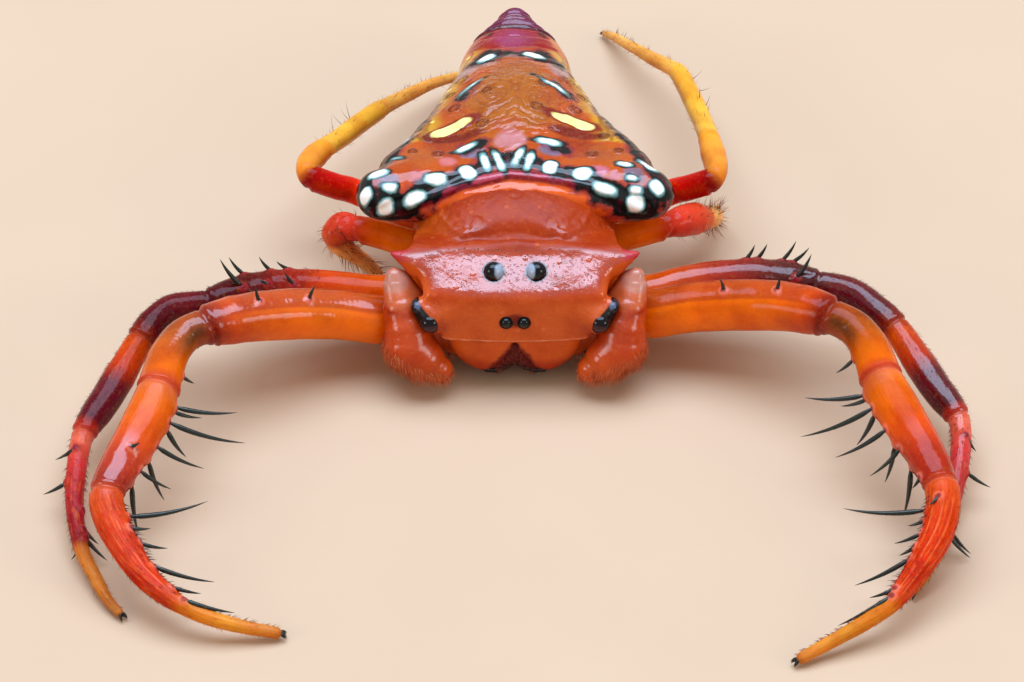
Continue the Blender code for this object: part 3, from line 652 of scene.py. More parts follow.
# the black marks that lie the same on both sides: their middle line, then half their width at each stop
BLACK_MARKS = ((FLANK_BAND, FLANK_RADII), (((0.84, 3.1, 2.2), (0.62, 3.36, 2.27)), (0.08, 0.08)),
               (((0.66, 4.36, 1.84), (0.36, 4.5, 1.92), (0.05, 4.54, 1.94)), (0.14, 0.22, 0.05)),
               (((0.78, 1.7, 2.36), (0.5, 1.76, 2.4)), (0.1, 0.08)))
# small pale dots: middle in plan, then radius
DOTS = ((-1.32, 2.9, .04), (-1.18, 3.3, .03), (-1.05, 3.6, .035), (-0.92, 4.4, .03), (1.3, 2.95, .04),
        (1.2, 3.25, .045), (1.1, 3.55, .035), (0.98, 3.9, .03), (0.8, 4.5, .03), (-1.3, 2.55, .03),
        (1.42, 2.62, .03), (-0.75, 4.75, .03))
# soft patches of colour in plan, some of them painted highlights and painted reflections: middle, half length
# and width, colour, strength
PATCHES_AND_PAINTED_HIGHLIGHTS = (
    (-0.05, 2.9, 0.85, 1.2, (170, 92, 12), 0.9), (-0.05, 3.9, 0.5, 0.5, (160, 76, 14), 0.6),
    (-1.0, 1.75, 0.5, 0.3, (150, 44, 14), 0.7), (1.0, 1.75, 0.5, 0.3, (150, 40, 14), 0.7),
    (-1.45, 1.5, 0.3, 0.35, (176, 84, 24), 0.7), (1.4, 1.6, 0.3, 0.35, (176, 84, 24), 0.7),
    (-0.95, 2.03, 0.5, 0.12, (112, 8, 8), 0.9), (0.92, 2.13, 0.5, 0.13, (112, 8, 8), 0.9),
    # painted highlight: the first patch on the next line, lilac, on the front of the back
    (-0.05, 1.78, 0.26, 0.22, (200, 140, 150), 0.85), (-0.1, 2.1, 0.3, 0.2, (176, 62, 30), 0.5),
    # painted reflections: both grey-blue patches on the next line
    (-0.66, 1.56, 0.2, 0.13, (120, 126, 156), 0.9), (0.56, 1.62, 0.22, 0.14, (112, 116, 150), 0.9),
    # painted highlights: the four pink and lilac patches on the next two lines
    (-1.07, 1.36, 0.16, 0.15, (206, 120, 130), 0.75), (-1.5, 1.02, 0.16, 0.13, (196, 92, 100), 0.8),
    (1.27, 1.12, 0.22, 0.14, (190, 110, 140), 0.8), (1.56, 1.02, 0.1, 0.1, (176, 90, 120), 0.6),
    (-1.95, 0.9, 0.17, 0.16, (112, 118, 146), 0.85), (1.84, 1.02, 0.2, 0.24, (116, 120, 150), 0.85),
    (-0.76, 4.05, 0.2, 0.34, (166, 134, 142), 0.8), (0.73, 4.08, 0.2, 0.34, (166, 130, 136), 0.8),
    (-0.05, 4.5, 0.3, 0.12, (116, 100, 116), 0.8), (0, 5.15, 0.42, 0.42, (146, 14, 30), 0.9))
# the dimples of the back, each with its rings: middle in plan, then size
RINGS = (
    (-0.36, 1.36, 0.13), (0.14, 1.38, 0.13), (-0.1, 1.42, 0.12), (-1.36, 2.07, 0.12), (1.39, 2.12, 0.12),
    (-0.52, 2.25, 0.14), (0.34, 2.6, 0.14), (-0.95, 2.85, 0.14), (0.95, 2.8, 0.14), (-1.2, 1.6, 0.13),
    (1.2, 1.6, 0.13), (-0.85, 3.75, 0.15), (0.85, 3.75, 0.15), (-1.6, 1.7, 0.1), (1.62, 1.72, 0.1),
    (-0.45, 3.1, 0.12), (0.45, 3.3, 0.12), (-1.02, 3.35, 0.1), (1.05, 3.3, 0.1), (-0.95, 4.2, 0.1),
    (0.93, 4.2, 0.1))

# the crest between the front wall and the back
RIM = (
    (-2.18, 0.7, 1.84), (-1.5, 0.71, 2.11), (-0.81, 0.93, 2.33), (-0.08, 1.05, 2.41), (0.65, 0.99, 2.37),
    (1.29, 0.84, 2.29), (1.97, 0.66, 2.0))


def spot_distance(p, kind):
    """How far each point lies outside the nearest of the oval spots."""
    reach, squareness = [], 2.6
    for a, b, w in SPOTS[kind]:
        a, b = np.array(a), np.array(b)
        run = (b - a) * (1, 1, 0.65)
        long = np.linalg.norm(run)
        off = (p - (a + b) / 2) * (1, 1, 0.65)
        along = off @ run / long
        wide = np.sqrt(np.maximum((off * off).sum(axis=1) - along ** 2, 0))
        oval = abs(along / (long * 0.5 + w * 0.85)) ** squareness + (wide / (w * 0.9)) ** squareness
        reach.append((oval ** (1 / squareness) - 1) * w)
    return np.min(reach, axis=0)


def abdomen_detail(p):
    x, y, z = p.T
    top = step(z, 1.55, 1.8)
    wave = ripple(p, 1.5, 11)
    rings = 0.022 * np.sin(y * 30 + 1.2 * wave) * step(y, 5.25, 5.55)
    sunk = 0.0
    for rx, ry, size in RINGS:
        away = np.hypot(x - rx, y - ry)
        sunk = sunk + 0.012 * np.cos(away / size * 7.5) * hump(away, size) * top
    bow = np.hypot(abs(x) - 0.36, (y - 2.75) * 0.9)
    swirl = 0.012 * np.sin(bow * 13 + 1.3 * wave) * span(y, 1.9, 2.3, 3.7, 4.3)
    swirl = swirl * drop(abs(x), 0.8, 1.05) * top
    spine = 0.05 * hump(x, 0.09) * span(y, 2.2, 2.6, 3.4, 3.9)
    edge = bar(RIM, (0.0,) * len(RIM))(p) + 0.02 * wave
    collar = 0.03 * hump(edge, 0.05) - 0.025 * hump(edge - 0.13, 0.06)
    crease = sum(0.016 * hump(y - at - 0.22 * x * x + 0.05 * wave, 0.03) for at in (4.25, 4.75, 5.1)) * top
    raised = 0.012 * drop(np.minimum(spot_distance(p, "White"), spot_distance(p, "Yellow")), -0.03, 0.03)
    return (whole_form(p) - rings - sunk - swirl - spine + crease - raised - collar
            - 0.01 * ripple(p, 3.5, 4) * top)


parts = bmesh.new()
rough_shape(parts, (0, 2.6, 1.6), abdomen_form, 4.4)
for a, b in teats:
    rod(parts, a, b, 0.12, 0.07, 16)
abdomen, p = cast_skin("abdomen_skin", parts, abdomen_detail, ABDOMEN_GRAIN)
x, y, z = p.T
wave = ripple(p, 2.2, 21)
tints = np.tile(screen(184, 76, 14), (len(p), 1))
tints = lay(tints, ((206, 104, 20), drop(z, 1.35, 1.75)))
olive = abs(x) - np.interp(y, (0.9, 2.0, 2.8, 3.45, 4.1, 4.75, 5.2), (9, 1.35, 1.18, 0.98, 0.8, 0.62, 0.5))
tints = lay(
    tints,
    ((200, 144, 34), step(olive + 0.08 * wave, -0.16, 0.06) * step(z, 1.2, 1.45)),
    ((110, 60, 10), step(olive + 0.1 * wave, 0.05, 0.1) * step(-olive - 0.1 * wave, -0.2, -0.12) * 0.6))
# lays the patches of colour, painted highlights and reflections among them
for px, py, long, wide, colour, strength in PATCHES_AND_PAINTED_HIGHLIGHTS:
    away = np.hypot((x - px) / long, (y - py) / wide) + 0.22 * wave
    tints = lay(tints, (colour, drop(away, 0.6, 1.15) * strength * step(z, 1.3, 1.6)))
rings = np.min([np.hypot(x - rx, y - ry) / size for rx, ry, size in RINGS], axis=0)
tints = lay(tints, ((96, 18, 8), hump(rings - 0.55, 0.2) * 0.55 * step(z, 1.6, 1.8)))
rim = bar(RIM, (0.0,) * len(RIM))(p) + 0.02 * wave
wall = step(0.93 + 0.1 * x * x - y, -0.08, 0.0) * drop(abs(x), 1.7, 2.1) * drop(z, 2.32, 2.4)
tints = lay(
    tints,
    ((222, 92, 28), wall),
    ((130, 14, 26), drop(rim, 0.08, 0.13) * drop(abs(x), 1.8, 2.1)),
    ((196, 80, 110), drop(rim, 0.03, 0.05) * drop(abs(x), 1.8, 2.1) * 0.8),
    ((150, 12, 20), step(y + 0.1 * wave, 4.75, 4.9)),
    ((196, 100, 30), step(y, 4.7, 4.8) * step(olive + 0.1 * wave, 0.06, 0.16)),
    ((150, 56, 100), step(-np.hypot(x / 0.34, (y - 5.05) / 0.34) - 0.2 * wave, -1.4, -0.4) * 0.85))
for dx in (-0.42, 0.44):
    tints = lay(tints, ((50, 8, 20), drop(np.hypot(x - dx, y - 5.3), 0.05, 0.1) * 0.8))
tints = lay(
    tints,
    ((118, 36, 84), step(y + 0.1 * wave, 5.4, 5.55)),
    ((60, 10, 30), hump(y - 5.48 + 0.04 * wave, 0.06) * 0.9),
    ((90, 14, 50), step(np.sin(y * 30), 0.2, 0.9) * step(y, 5.5, 5.6) * 0.6),
    ((150, 60, 40), drop(z, 0.95, 1.1) * step(y, 5.3, 5.6)))
dots = np.min([np.hypot(x - dx, y - dy) - r for dx, dy, r in DOTS], axis=0)
tints = lay(tints, ((250, 226, 120), drop(dots, -0.01, 0.02) * step(z, 1.5, 1.6)))
low = np.array((1, 1, 0.45))
black = [bar(np.array(BAND) * low, BAND_RADII)(p * low)]
black += [bar(np.array(mirror(side, places)) * low, radii)(p * low)
          for places, radii in BLACK_MARKS for side in (1, -1)]
paint(abdomen, tints, Gloss=sheen(abdomen, 0.42), White=spot_distance(p, "White"),
      Yellow=spot_distance(p, "Yellow"), Black=np.min(black, axis=0),
      Bow=np.hypot(abs(x) - 0.4, (y - 2.9) * 0.9) + 0.05 * wave,
      Calm=span(y, 1.9, 2.2, 3.9, 4.3) * drop(abs(x), 0.9, 1.15) * step(z, 1.6, 1.8), Ring=rings,
      Crown=step(z, 1.6, 1.8) * drop(y, 5.0, 5.3))


def abdomen_cuticle():
    """The clear cuticle with fine ripples over the back, and a black band and spots with wavering edges."""
    made = cuticle("abdomen_cuticle", glow=0.14, polish=0.1, granules=0.0, bump=0.004, cell=9.0)
    tree = made.node_tree
    shift = math_node(tree, "SUBTRACT", noise(tree, 4.5, 4.0), 0.5)
    bow, ring = times(tree, measure(tree, "Bow"), 46.0), measure(tree, "Ring")
    waves = math_node(tree, "SINE", plus(tree, bow, times(tree, shift, 14.0)))
    loops = math_node(tree, "COSINE", plus(tree, times(tree, ring, 14.0), times(tree, shift, 5.0)))
    loops = times(tree, times(tree, loops, ramp(tree, ring, 0.6, 1.3, 1.0, 0.0)), measure(tree, "Crown"))
    relief = plus(tree, times(tree, times(tree, waves, measure(tree, "Calm")), 0.6), loops)
    emboss(tree, relief, 0.013)
    recolour(tree, ramp(tree, times(tree, relief, -1.0), 0.2, 0.9, 0.0, 0.5), (0.45, 0.18, 0.08), "MULTIPLY")
    # each layer: its marking, where it is full, where it ends, its edge's waver, its strength and colour
    for marking, full, nothing, waver, strength, colour in (
            ("Black", 0.04, 0.1, 0.35, 0.55, (120, 30, 60)),
            ("Black", -0.02, 0.04, 0.35, 1.0, (14, 20, 24)),
            ("Black", -0.14, -0.09, 0.5, 1.0, (70, 16, 30)),
            ("White", 0.03, 0.07, 0.15, 1.0, (10, 18, 22)),
            ("White", 0.0, 0.035, 0.08, 1.0, (120, 170, 170)),
            ("White", -0.02, 0.01, 0.08, 1.0, (250, 255, 252)),
            ("Yellow", 0.03, 0.09, 0.15, 1.0, (128, 30, 14)),
            ("Yellow", -0.01, 0.02, 0.04, 1.0, (250, 246, 150))):
        edge = plus(tree, measure(tree, marking), times(tree, shift, waver))
        recolour(tree, ramp(tree, edge, full, nothing, strength, 0.0), screen(*colour))
    return made


finish_piece(abdomen, abdomen_cuticle(), "abdomen", "abdomen", "spinnerets")

# Legs
# Eight jointed legs of clear amber tube, each article a little swollen and pinched at its
# joints. The two front pairs are long and thick; the third is short and tucked in. Each
# leg is one skin, drawn ring by ring along its line, then tinted from hip to claw.

# each stop of a leg's line: its station (0 hip, 1 thigh root, 2 knee, and so on to the claw), then its place
LEG_LINES = {
    "leg_1_right": (
        (0, -0.8, -0.1, 0.65), (0.6, -1.55, -0.33, 0.68), (1.15, -2.06, -0.61, 0.86),
        (1.35, -2.74, -0.71, 1.05), (1.55, -3.33, -0.89, 1.23), (1.75, -3.91, -1.16, 1.42),
        (1.9, -4.37, -1.42, 1.56), (2.02, -4.77, -1.66, 1.65), (2.35, -5.08, -1.85, 1.6),
        (2.7, -5.3, -2.31, 1.55), (3, -5.41, -2.95, 1.5), (3.25, -5.54, -3.39, 1.4),
        (3.5, -5.71, -3.81, 1.3), (3.8, -5.95, -4.32, 1.18), (4, -6.11, -4.78, 1.1),
        (4.15, -6.07, -5.12, 1.01), (4.4, -5.87, -5.57, 0.86), (4.7, -5.56, -6.04, 0.68),
        (4.9, -5.2, -6.39, 0.56), (5.03, -4.91, -6.59, 0.49), (5.3, -4.51, -6.72, 0.38),
        (5.65, -4, -6.77, 0.24), (5.97, -3.46, -6.77, 0.11)),
    "leg_1_left": (
        (0, 0.8, -0.1, 0.65), (0.6, 1.55, -0.33, 0.68), (1.15, 2.06, -0.49, 0.86),
        (1.4, 2.86, -0.57, 1.09), (1.65, 3.78, -0.79, 1.32), (1.85, 4.38, -1.09, 1.51),
        (2.02, 4.85, -1.43, 1.65), (2.35, 5.21, -1.67, 1.6), (2.7, 5.43, -2.1, 1.55),
        (3, 5.56, -2.69, 1.5), (3.25, 5.72, -3.06, 1.4), (3.5, 5.92, -3.49, 1.3),
        (3.8, 6.19, -4.05, 1.18), (4, 6.38, -4.62, 1.1), (4.15, 6.4, -4.99, 1.01),
        (4.4, 6.29, -5.46, 0.86), (4.7, 6.02, -5.94, 0.68), (4.9, 5.74, -6.35, 0.56),
        (5.03, 5.54, -6.58, 0.49), (5.3, 5.17, -6.82, 0.38), (5.65, 4.68, -7.07, 0.24),
        (5.97, 4.16, -7.34, 0.11)),
    "leg_2_right": (
        (0, -0.85, 0.4, 0.65), (0.6, -1.55, 0.34, 0.69), (1.2, -2.07, 0.02, 0.85),
        (1.4, -2.76, -0.03, 0.97), (1.6, -3.35, -0.12, 1.1), (1.8, -3.94, -0.3, 1.22),
        (1.92, -4.4, -0.54, 1.3), (2.03, -4.78, -0.77, 1.34), (2.4, -5.26, -0.77, 1.23),
        (2.75, -5.57, -0.97, 1.12), (3, -5.77, -1.31, 1.05), (3.3, -6, -1.85, 0.94),
        (3.65, -6.24, -2.36, 0.82), (3.95, -6.52, -2.92, 0.72), (4.1, -6.61, -3.29, 0.66),
        (4.35, -6.65, -3.78, 0.56), (4.65, -6.65, -4.33, 0.44), (4.9, -6.57, -4.9, 0.34),
        (5.05, -6.47, -5.28, 0.29), (5.4, -6.28, -5.68, 0.21), (5.7, -6.09, -6.07, 0.15),
        (5.97, -5.86, -6.36, 0.09)),
    "leg_2_left": (
        (0, 0.85, 0.4, 0.65), (0.6, 1.55, 0.34, 0.69), (1.2, 2.07, 0.03, 0.85), (1.4, 2.57, 0.07, 0.97),
        (1.6, 3.18, 0.08, 1.1), (1.75, 3.8, 0.03, 1.19), (1.9, 4.29, -0.15, 1.29),
        (2.03, 4.73, -0.33, 1.34), (2.4, 5.18, -0.39, 1.23), (2.75, 5.53, -0.62, 1.12),
        (3, 5.86, -1, 1.05), (3.3, 6.16, -1.59, 0.94), (3.65, 6.43, -2.1, 0.82),
        (3.95, 6.71, -2.57, 0.72), (4.1, 6.79, -2.87, 0.66), (4.35, 6.75, -3.48, 0.56),
        (4.65, 6.6, -4.23, 0.44), (4.9, 6.45, -4.83, 0.34), (5.05, 6.35, -5.12, 0.29),
        (5.5, 6.15, -5.54, 0.19), (5.97, 5.93, -5.9, 0.09)),
    "leg_3_right": (
        (0, -0.8, 0.9, 0.75), (0.7, -1.3, 1.04, 0.82), (1.3, -1.65, 1.07, 0.95),
        (1.65, -2.05, 1.14, 1.06), (1.97, -2.43, 1.16, 1.17), (2.3, -2.68, 1.29, 1.1),
        (2.6, -2.78, 1.24, 1.01), (3, -2.8, 1.19, 0.9), (3.4, -2.7, 1.22, 0.74),
        (3.8, -2.55, 1.26, 0.58), (4.2, -2.39, 1.27, 0.42), (4.6, -2.24, 1.27, 0.25),
        (4.97, -2.11, 1.25, 0.09)),
    "leg_3_left": (
        (0, 0.8, 0.9, 0.75), (0.7, 1.3, 1.04, 0.82), (1.3, 1.55, 1.17, 0.95), (1.65, 1.96, 1.21, 1.06),
        (1.97, 2.35, 1.25, 1.17), (2.3, 2.61, 1.43, 1.1), (2.65, 2.82, 1.61, 1), (3, 3, 1.74, 0.9),
        (3.3, 3.09, 1.89, 0.78), (4, 3.17, 2.25, 0.5), (4.97, 3.14, 2.83, 0.09)),
    "leg_4_right": (
        (0, -0.7, 1.5, 0.75), (0.7, -1.35, 1.68, 0.79), (1.35, -2.43, 2.15, 1.05),
        (1.65, -2.82, 2.1, 1.25), (1.9, -3.13, 2.06, 1.43), (2.05, -3.26, 2.1, 1.5),
        (2.35, -3.26, 2.37, 1.47), (2.7, -3.15, 2.62, 1.44), (3, -3.01, 2.83, 1.42),
        (3.3, -2.79, 3.23, 1.28), (3.65, -2.52, 3.76, 1.11), (3.95, -2.21, 4.28, 0.97),
        (4.15, -2.01, 4.57, 0.88), (4.5, -1.69, 5.04, 0.7), (4.8, -1.41, 5.43, 0.55),
        (5, -1.15, 5.69, 0.45), (5.4, -0.83, 5.99, 0.3), (5.97, -0.54, 6.31, 0.09)),
    "leg_4_left": (
        (0, 0.7, 1.5, 0.75), (0.7, 1.35, 1.68, 0.79), (1.35, 2.37, 2.13, 1.05), (1.65, 2.72, 2.06, 1.25),
        (1.9, 3.01, 1.99, 1.43), (2.05, 3.13, 2, 1.5), (2.35, 3.17, 2.3, 1.47), (2.7, 3.13, 2.68, 1.44),
        (3, 3.07, 3.08, 1.42), (3.3, 3, 3.62, 1.28), (3.65, 2.86, 4.36, 1.11), (3.95, 2.66, 5.2, 0.97),
        (4.15, 2.5, 5.5, 0.88), (4.5, 2.23, 5.94, 0.7), (4.8, 2.01, 6.33, 0.55), (5.03, 1.85, 6.6, 0.44),
        (5.5, 1.66, 6.99, 0.27), (5.97, 1.46, 7.34, 0.09))}
# the radius at each station of a pair's legs
THICKNESS = {
    "leg_1": (
        (0, .3), (.6, .36), (1, .36), (1.2, .38), (1.6, .4), (1.9, .37), (1.98, .33), (2.04, .27),
        (2.3, .28), (2.7, .31), (2.96, .33), (3.04, .325), (3.3, .345), (3.6, .33), (3.88, .29),
        (3.98, .26), (4.06, .265), (4.25, .255), (4.6, .21), (4.9, .16), (5, .135), (5.08, .125),
        (5.5, .11), (5.9, .09), (6, .06)),
    "leg_2": (
        (0, .26), (1, .28), (1.5, .285), (1.9, .26), (2.04, .2), (2.4, .235), (2.9, .235), (3.05, .215),
        (3.4, .25), (3.8, .24), (3.97, .2), (4.05, .165), (4.5, .15), (5, .115), (5.5, .1), (6, .06)),
    "leg_3": (
        (0, .25), (1, .24), (1.5, .23), (1.9, .22), (2.02, .2), (2.3, .25), (2.7, .26), (2.95, .2),
        (3.1, .17), (3.5, .16), (4, .13), (4.5, .11), (5, .07)),
    "leg_4": (
        (0, .22), (1, .21), (1.5, .205), (1.95, .2), (2.05, .16), (2.35, .19), (2.7, .2), (2.97, .17),
        (3.05, .16), (3.5, .165), (3.9, .16), (4.0, .145), (4.1, .125), (4.5, .11), (5, .085),
        (5.5, .075), (6, .045))}
# the screen colour at each station
TINTS = {
    "leg_1": (
        (0, (176, 70, 20)), (1, (232, 104, 2)), (1.4, (240, 112, 0)), (1.75, (228, 98, 2)),
        (1.92, (206, 72, 10)), (2.0, (132, 24, 12)), (2.1, (150, 60, 18)), (2.5, (176, 80, 16)),
        (2.75, (206, 92, 8)), (2.9, (212, 92, 8)), (2.985, (186, 60, 30)), (3.05, (206, 102, 50)),
        (3.15, (212, 96, 14)), (3.4, (216, 90, 10)), (3.6, (208, 70, 14)), (3.8, (180, 46, 20)),
        (3.97, (160, 34, 16)), (4.03, (204, 72, 24)), (4.3, (206, 54, 8)), (4.8, (198, 40, 4)),
        (4.95, (200, 60, 8)), (5.03, (206, 112, 26)), (5.5, (214, 140, 40)), (5.9, (206, 130, 50)),
        (6, (150, 80, 40))),
    "leg_2": (
        (0, (176, 70, 20)), (1.1, (214, 88, 8)), (1.45, (200, 66, 12)), (1.62, (150, 30, 16)),
        (1.85, (86, 12, 20)), (2.0, (70, 8, 18)), (2.2, (104, 18, 30)), (2.85, (90, 12, 26)),
        (2.98, (130, 28, 14)), (3.1, (200, 70, 10)), (3.35, (184, 50, 16)), (3.55, (96, 12, 28)),
        (3.9, (86, 12, 26)), (3.98, (160, 34, 20)), (4.08, (210, 96, 70)), (4.3, (200, 50, 50)),
        (4.8, (150, 16, 34)), (4.95, (140, 22, 26)), (5.04, (190, 110, 40)), (5.6, (196, 128, 50)),
        (5.95, (176, 110, 50)), (6, (60, 40, 30))),
    # partly painted light: the third pair's own colour, laid lighter to cancel the shade that falls on it
    # under the body
    "leg_3": (
        (0, (176, 70, 20)), (1.2, (250, 140, 16)), (1.8, (240, 112, 16)), (1.97, (196, 50, 20)),
        (2.1, (214, 58, 40)), (2.6, (206, 64, 36)), (2.95, (214, 96, 50)), (3.05, (240, 172, 96)),
        (3.6, (246, 184, 106)), (4.8, (246, 184, 110)), (5, (120, 80, 50))),
    "leg_4": (
        (0, (176, 70, 20)), (1.1, (230, 96, 8)), (1.35, (232, 50, 10)), (1.6, (212, 16, 10)),
        (1.93, (172, 4, 8)), (2.0, (140, 6, 8)), (2.06, (214, 120, 30)), (2.5, (236, 158, 60)),
        (2.95, (232, 150, 40)), (3.05, (236, 178, 60)), (3.6, (232, 172, 50)), (3.95, (226, 160, 50)),
        (4.06, (232, 170, 74)), (4.6, (230, 164, 74)), (5.05, (232, 170, 84)), (5.8, (228, 166, 92)),
        (5.93, (150, 110, 80)), (6, (40, 36, 40)))}
# each spine: its station, its turn round the leg from the top towards the front, its reach, and its stoutness
SPINES = {
    "leg_1_right": (
        (1.54, 16, 0.1, 0.03, 0.24, 1), (1.79, 13, -0.05, 0.05, 0.25, 1),
        (2.82, 101, 0.16, -0.01, -0.12, 1), (3.09, 106, 0.9, 0.15, -0.24, 1),
        (3.13, 107, 0.4, 0.09, -0.2, 1), (3.27, 89, 1.11, 0.05, -0.46, 1),
        (3.3, 109, 0.27, -0.05, -0.5, 1.2), (3.5, 93, 0.69, -0.05, -0.4, 1),
        (3.61, 117, 0.21, -0.07, -0.72, 1.1), (3.67, 24, 0.13, -0.01, 0.09, 1),
        (3.75, 95, 0.45, -0.07, -0.31, 1), (3.85, 115, 0.06, -0.1, -0.86, 1.1),
        (4.24, 77, 1.14, 0.32, 0.01, 1), (4.37, 43, 0.29, 0.08, -0.08, 1),
        (4.49, 71, 0.4, 0.04, -0.14, 1), (4.72, 64, 0.88, -0.02, -0.3, 1), (4.91, 43, 0.41, 0, -0.13, 1),
        (5.02, 4, 0.73, -0.04, -0.22, 1)),
    "leg_2_right": (
        (1.65, -41, -0.18, 0.03, 0.13, 1), (1.65, 41, -0.14, 0.07, 0.18, 1),
        (1.74, -40, -0.17, 0.08, 0.2, 1), (1.79, 37, -0.1, 0.01, 0.09, 1),
        (1.85, -42, -0.22, 0.1, 0.26, 1), (1.89, 30, -0.33, 0.16, 0.41, 1.2),
        (4.17, -11, -0.31, -0.07, -0.18, 1), (4.45, -84, -0.33, -0.06, -0.17, 1),
        (4.88, 47, 0.21, -0.08, -0.23, 1), (4.95, 50, 0.31, -0.12, -0.34, 1),
        (4.72, 60, -0.06, -0.19, -0.53, 1), (4.92, 80, -0.23, -0.19, -0.45, 1)),
    "leg_1_left": (
        (1.52, 15, -0.06, 0.04, 0.21, 1), (1.76, 11, 0.04, 0.04, 0.24, 1),
        (2.7, 110, -0.25, -0.04, -0.23, 1), (3.07, 110, -0.88, 0.17, -0.2, 1),
        (3.11, 112, -0.38, 0.08, -0.21, 1), (3.26, 90, -1.05, -0.03, -0.55, 1),
        (3.28, 112, -0.25, -0.07, -0.55, 1.2), (3.48, 89, -0.74, -0.09, -0.48, 1),
        (3.59, 117, -0.12, -0.07, -0.67, 1.1), (3.68, 87, -0.44, -0.14, -0.42, 1),
        (3.82, 114, -0.08, -0.1, -0.86, 1.1), (3.93, 79, -0.11, -0.05, -0.17, 1),
        (4.14, 18, -0.14, -0.14, -0.04, 1), (4.2, 88, -1.18, 0.19, -0.14, 1),
        (4.3, 84, -0.23, 0.02, -0.12, 1), (4.43, 77, -0.38, -0.01, -0.19, 1),
        (4.57, 72, -0.23, -0.01, -0.17, 1), (4.69, 59, -0.79, -0.13, -0.41, 1),
        (4.93, 21, -0.37, -0.03, -0.15, 1), (4.99, 8, -0.77, -0.19, -0.41, 1)),
    "leg_2_left": (
        (1.7, -31, 0.13, 0.09, 0.21, 1), (1.74, -41, 0.15, 0.09, 0.22, 1),
        (1.84, -41, 0.21, 0.12, 0.29, 1), (1.89, -41, 0.25, 0.07, 0.23, 1),
        (1.94, 43, 0.23, 0.14, 0.35, 1.2), (4.21, -23, 0.16, -0.12, -0.22, 1),
        (4.44, -95, 0.34, -0.08, -0.21, 1), (4.89, -100, 0.28, -0.16, -0.4, 1),
        (4.93, -48, 0.33, -0.14, -0.38, 1))}
# stations, and how dull the skin is at each
DULL = {
    "leg_1": ((0, 2.98, 3.1, 3.5, 3.6, 3.98, 4.1, 6), (0, 0, 0.25, 0.25, 0, 0, 0.75, 0.6)),
    "leg_2": ((0, 4.3, 4.5, 6), (0, 0, 0.6, 0.6)),
    "leg_3": ((0, 2.95, 3.1, 6), (0, 0, 0.6, 0.6)),
    "leg_4": ((0, 4.0, 4.1, 6), (0, 0, 0.4, 0.5))}
# stations, and the gloss at each
GLOSS = {
    "leg_1": ((0, 2.6, 2.9, 3.5, 3.65, 3.95, 4.1, 6), (0.42, 0.42, 0.16, 0.16, 0.5, 0.5, 0.1, 0.16)),
    "leg_2": ((0, 1.6, 2.9, 3.1, 3.3, 3.5, 4, 4.2, 6), (0.42, 0.4, 0.4, 0.24, 0.3, 0.44, 0.4, 0.3, 0.15)),
    "leg_3": ((0, 2.9, 3.1, 6), (0.35, 0.35, 0.15, 0.15)),
    "leg_4": ((0, 4.0, 4.1, 6), (0.3, 0.25, 0.12, 0.12))}
SLOTS = {"leg_1": "leg_front", "leg_2": "leg_second", "leg_3": "leg_third", "leg_4": "leg_fourth"}


def smooth_line(stops, spacing):
    """A smooth line through the stops, with close even points, and the station of each point."""
    stops = np.array(stops)
    station, places = stops[:, 0], stops[:, 1:]
    line, at = [], []
    for k in range(len(places) - 1):
        before, after = places[max(k - 1, 0)], places[min(k + 2, len(places) - 1)]
        here, there = places[k], places[k + 1]
        count = max(2, int(np.linalg.norm(there - here) / spacing))
        for share in np.arange(count) / count:
            line.append(0.5 * (2 * here + (there - before) * share
                               + (2 * before - 5 * here + 4 * there - after) * share ** 2
                               + (3 * here - before - 3 * there + after) * share ** 3))
            at.append(station[k] + (station[k + 1] - station[k]) * share)
    return np.array([*line, places[-1]]), np.array([*at, station[-1]])


def directions(line):
    """At each point: the way the leg runs, the way to its front, and the way to its top."""
    heading = np.gradient(line, axis=0)
    heading /= np.linalg.norm(heading, axis=1)[:, None]
    front = np.cross(heading, (0.0, 0.0, 1.0))
    front /= np.linalg.norm(front, axis=1)[:, None]
    if front[0][1] > 0:
        front = -front
    top = np.cross(front, heading)
    return heading, front, top * np.sign(top[:, 2:3])


def leg_cuticle():
    """The clear cuticle again, with fine streaks that run along the duller, hairier ends of the legs."""
    made = cuticle("amber_leg", glow=0.3, polish=0.12, granules=0.0, bump=0.006)
    tree = made.node_tree
    dull = measure(tree, "Dull")
    streaks = noise(tree, 26.0, 3.0, measure(tree, "Grain", "Vector"))
    pale = times(tree, ramp(tree, streaks, 0.54, 0.68), dull)
    recolour(tree, times(tree, pale, 0.5), screen(236, 116, 36))
    deep = times(tree, ramp(tree, streaks, 0.46, 0.32), dull)
    recolour(tree, times(tree, deep, 0.5), (0.5, 0.14, 0.1), "MULTIPLY")
    emboss(tree, times(tree, streaks, dull), 0.018)
    return made


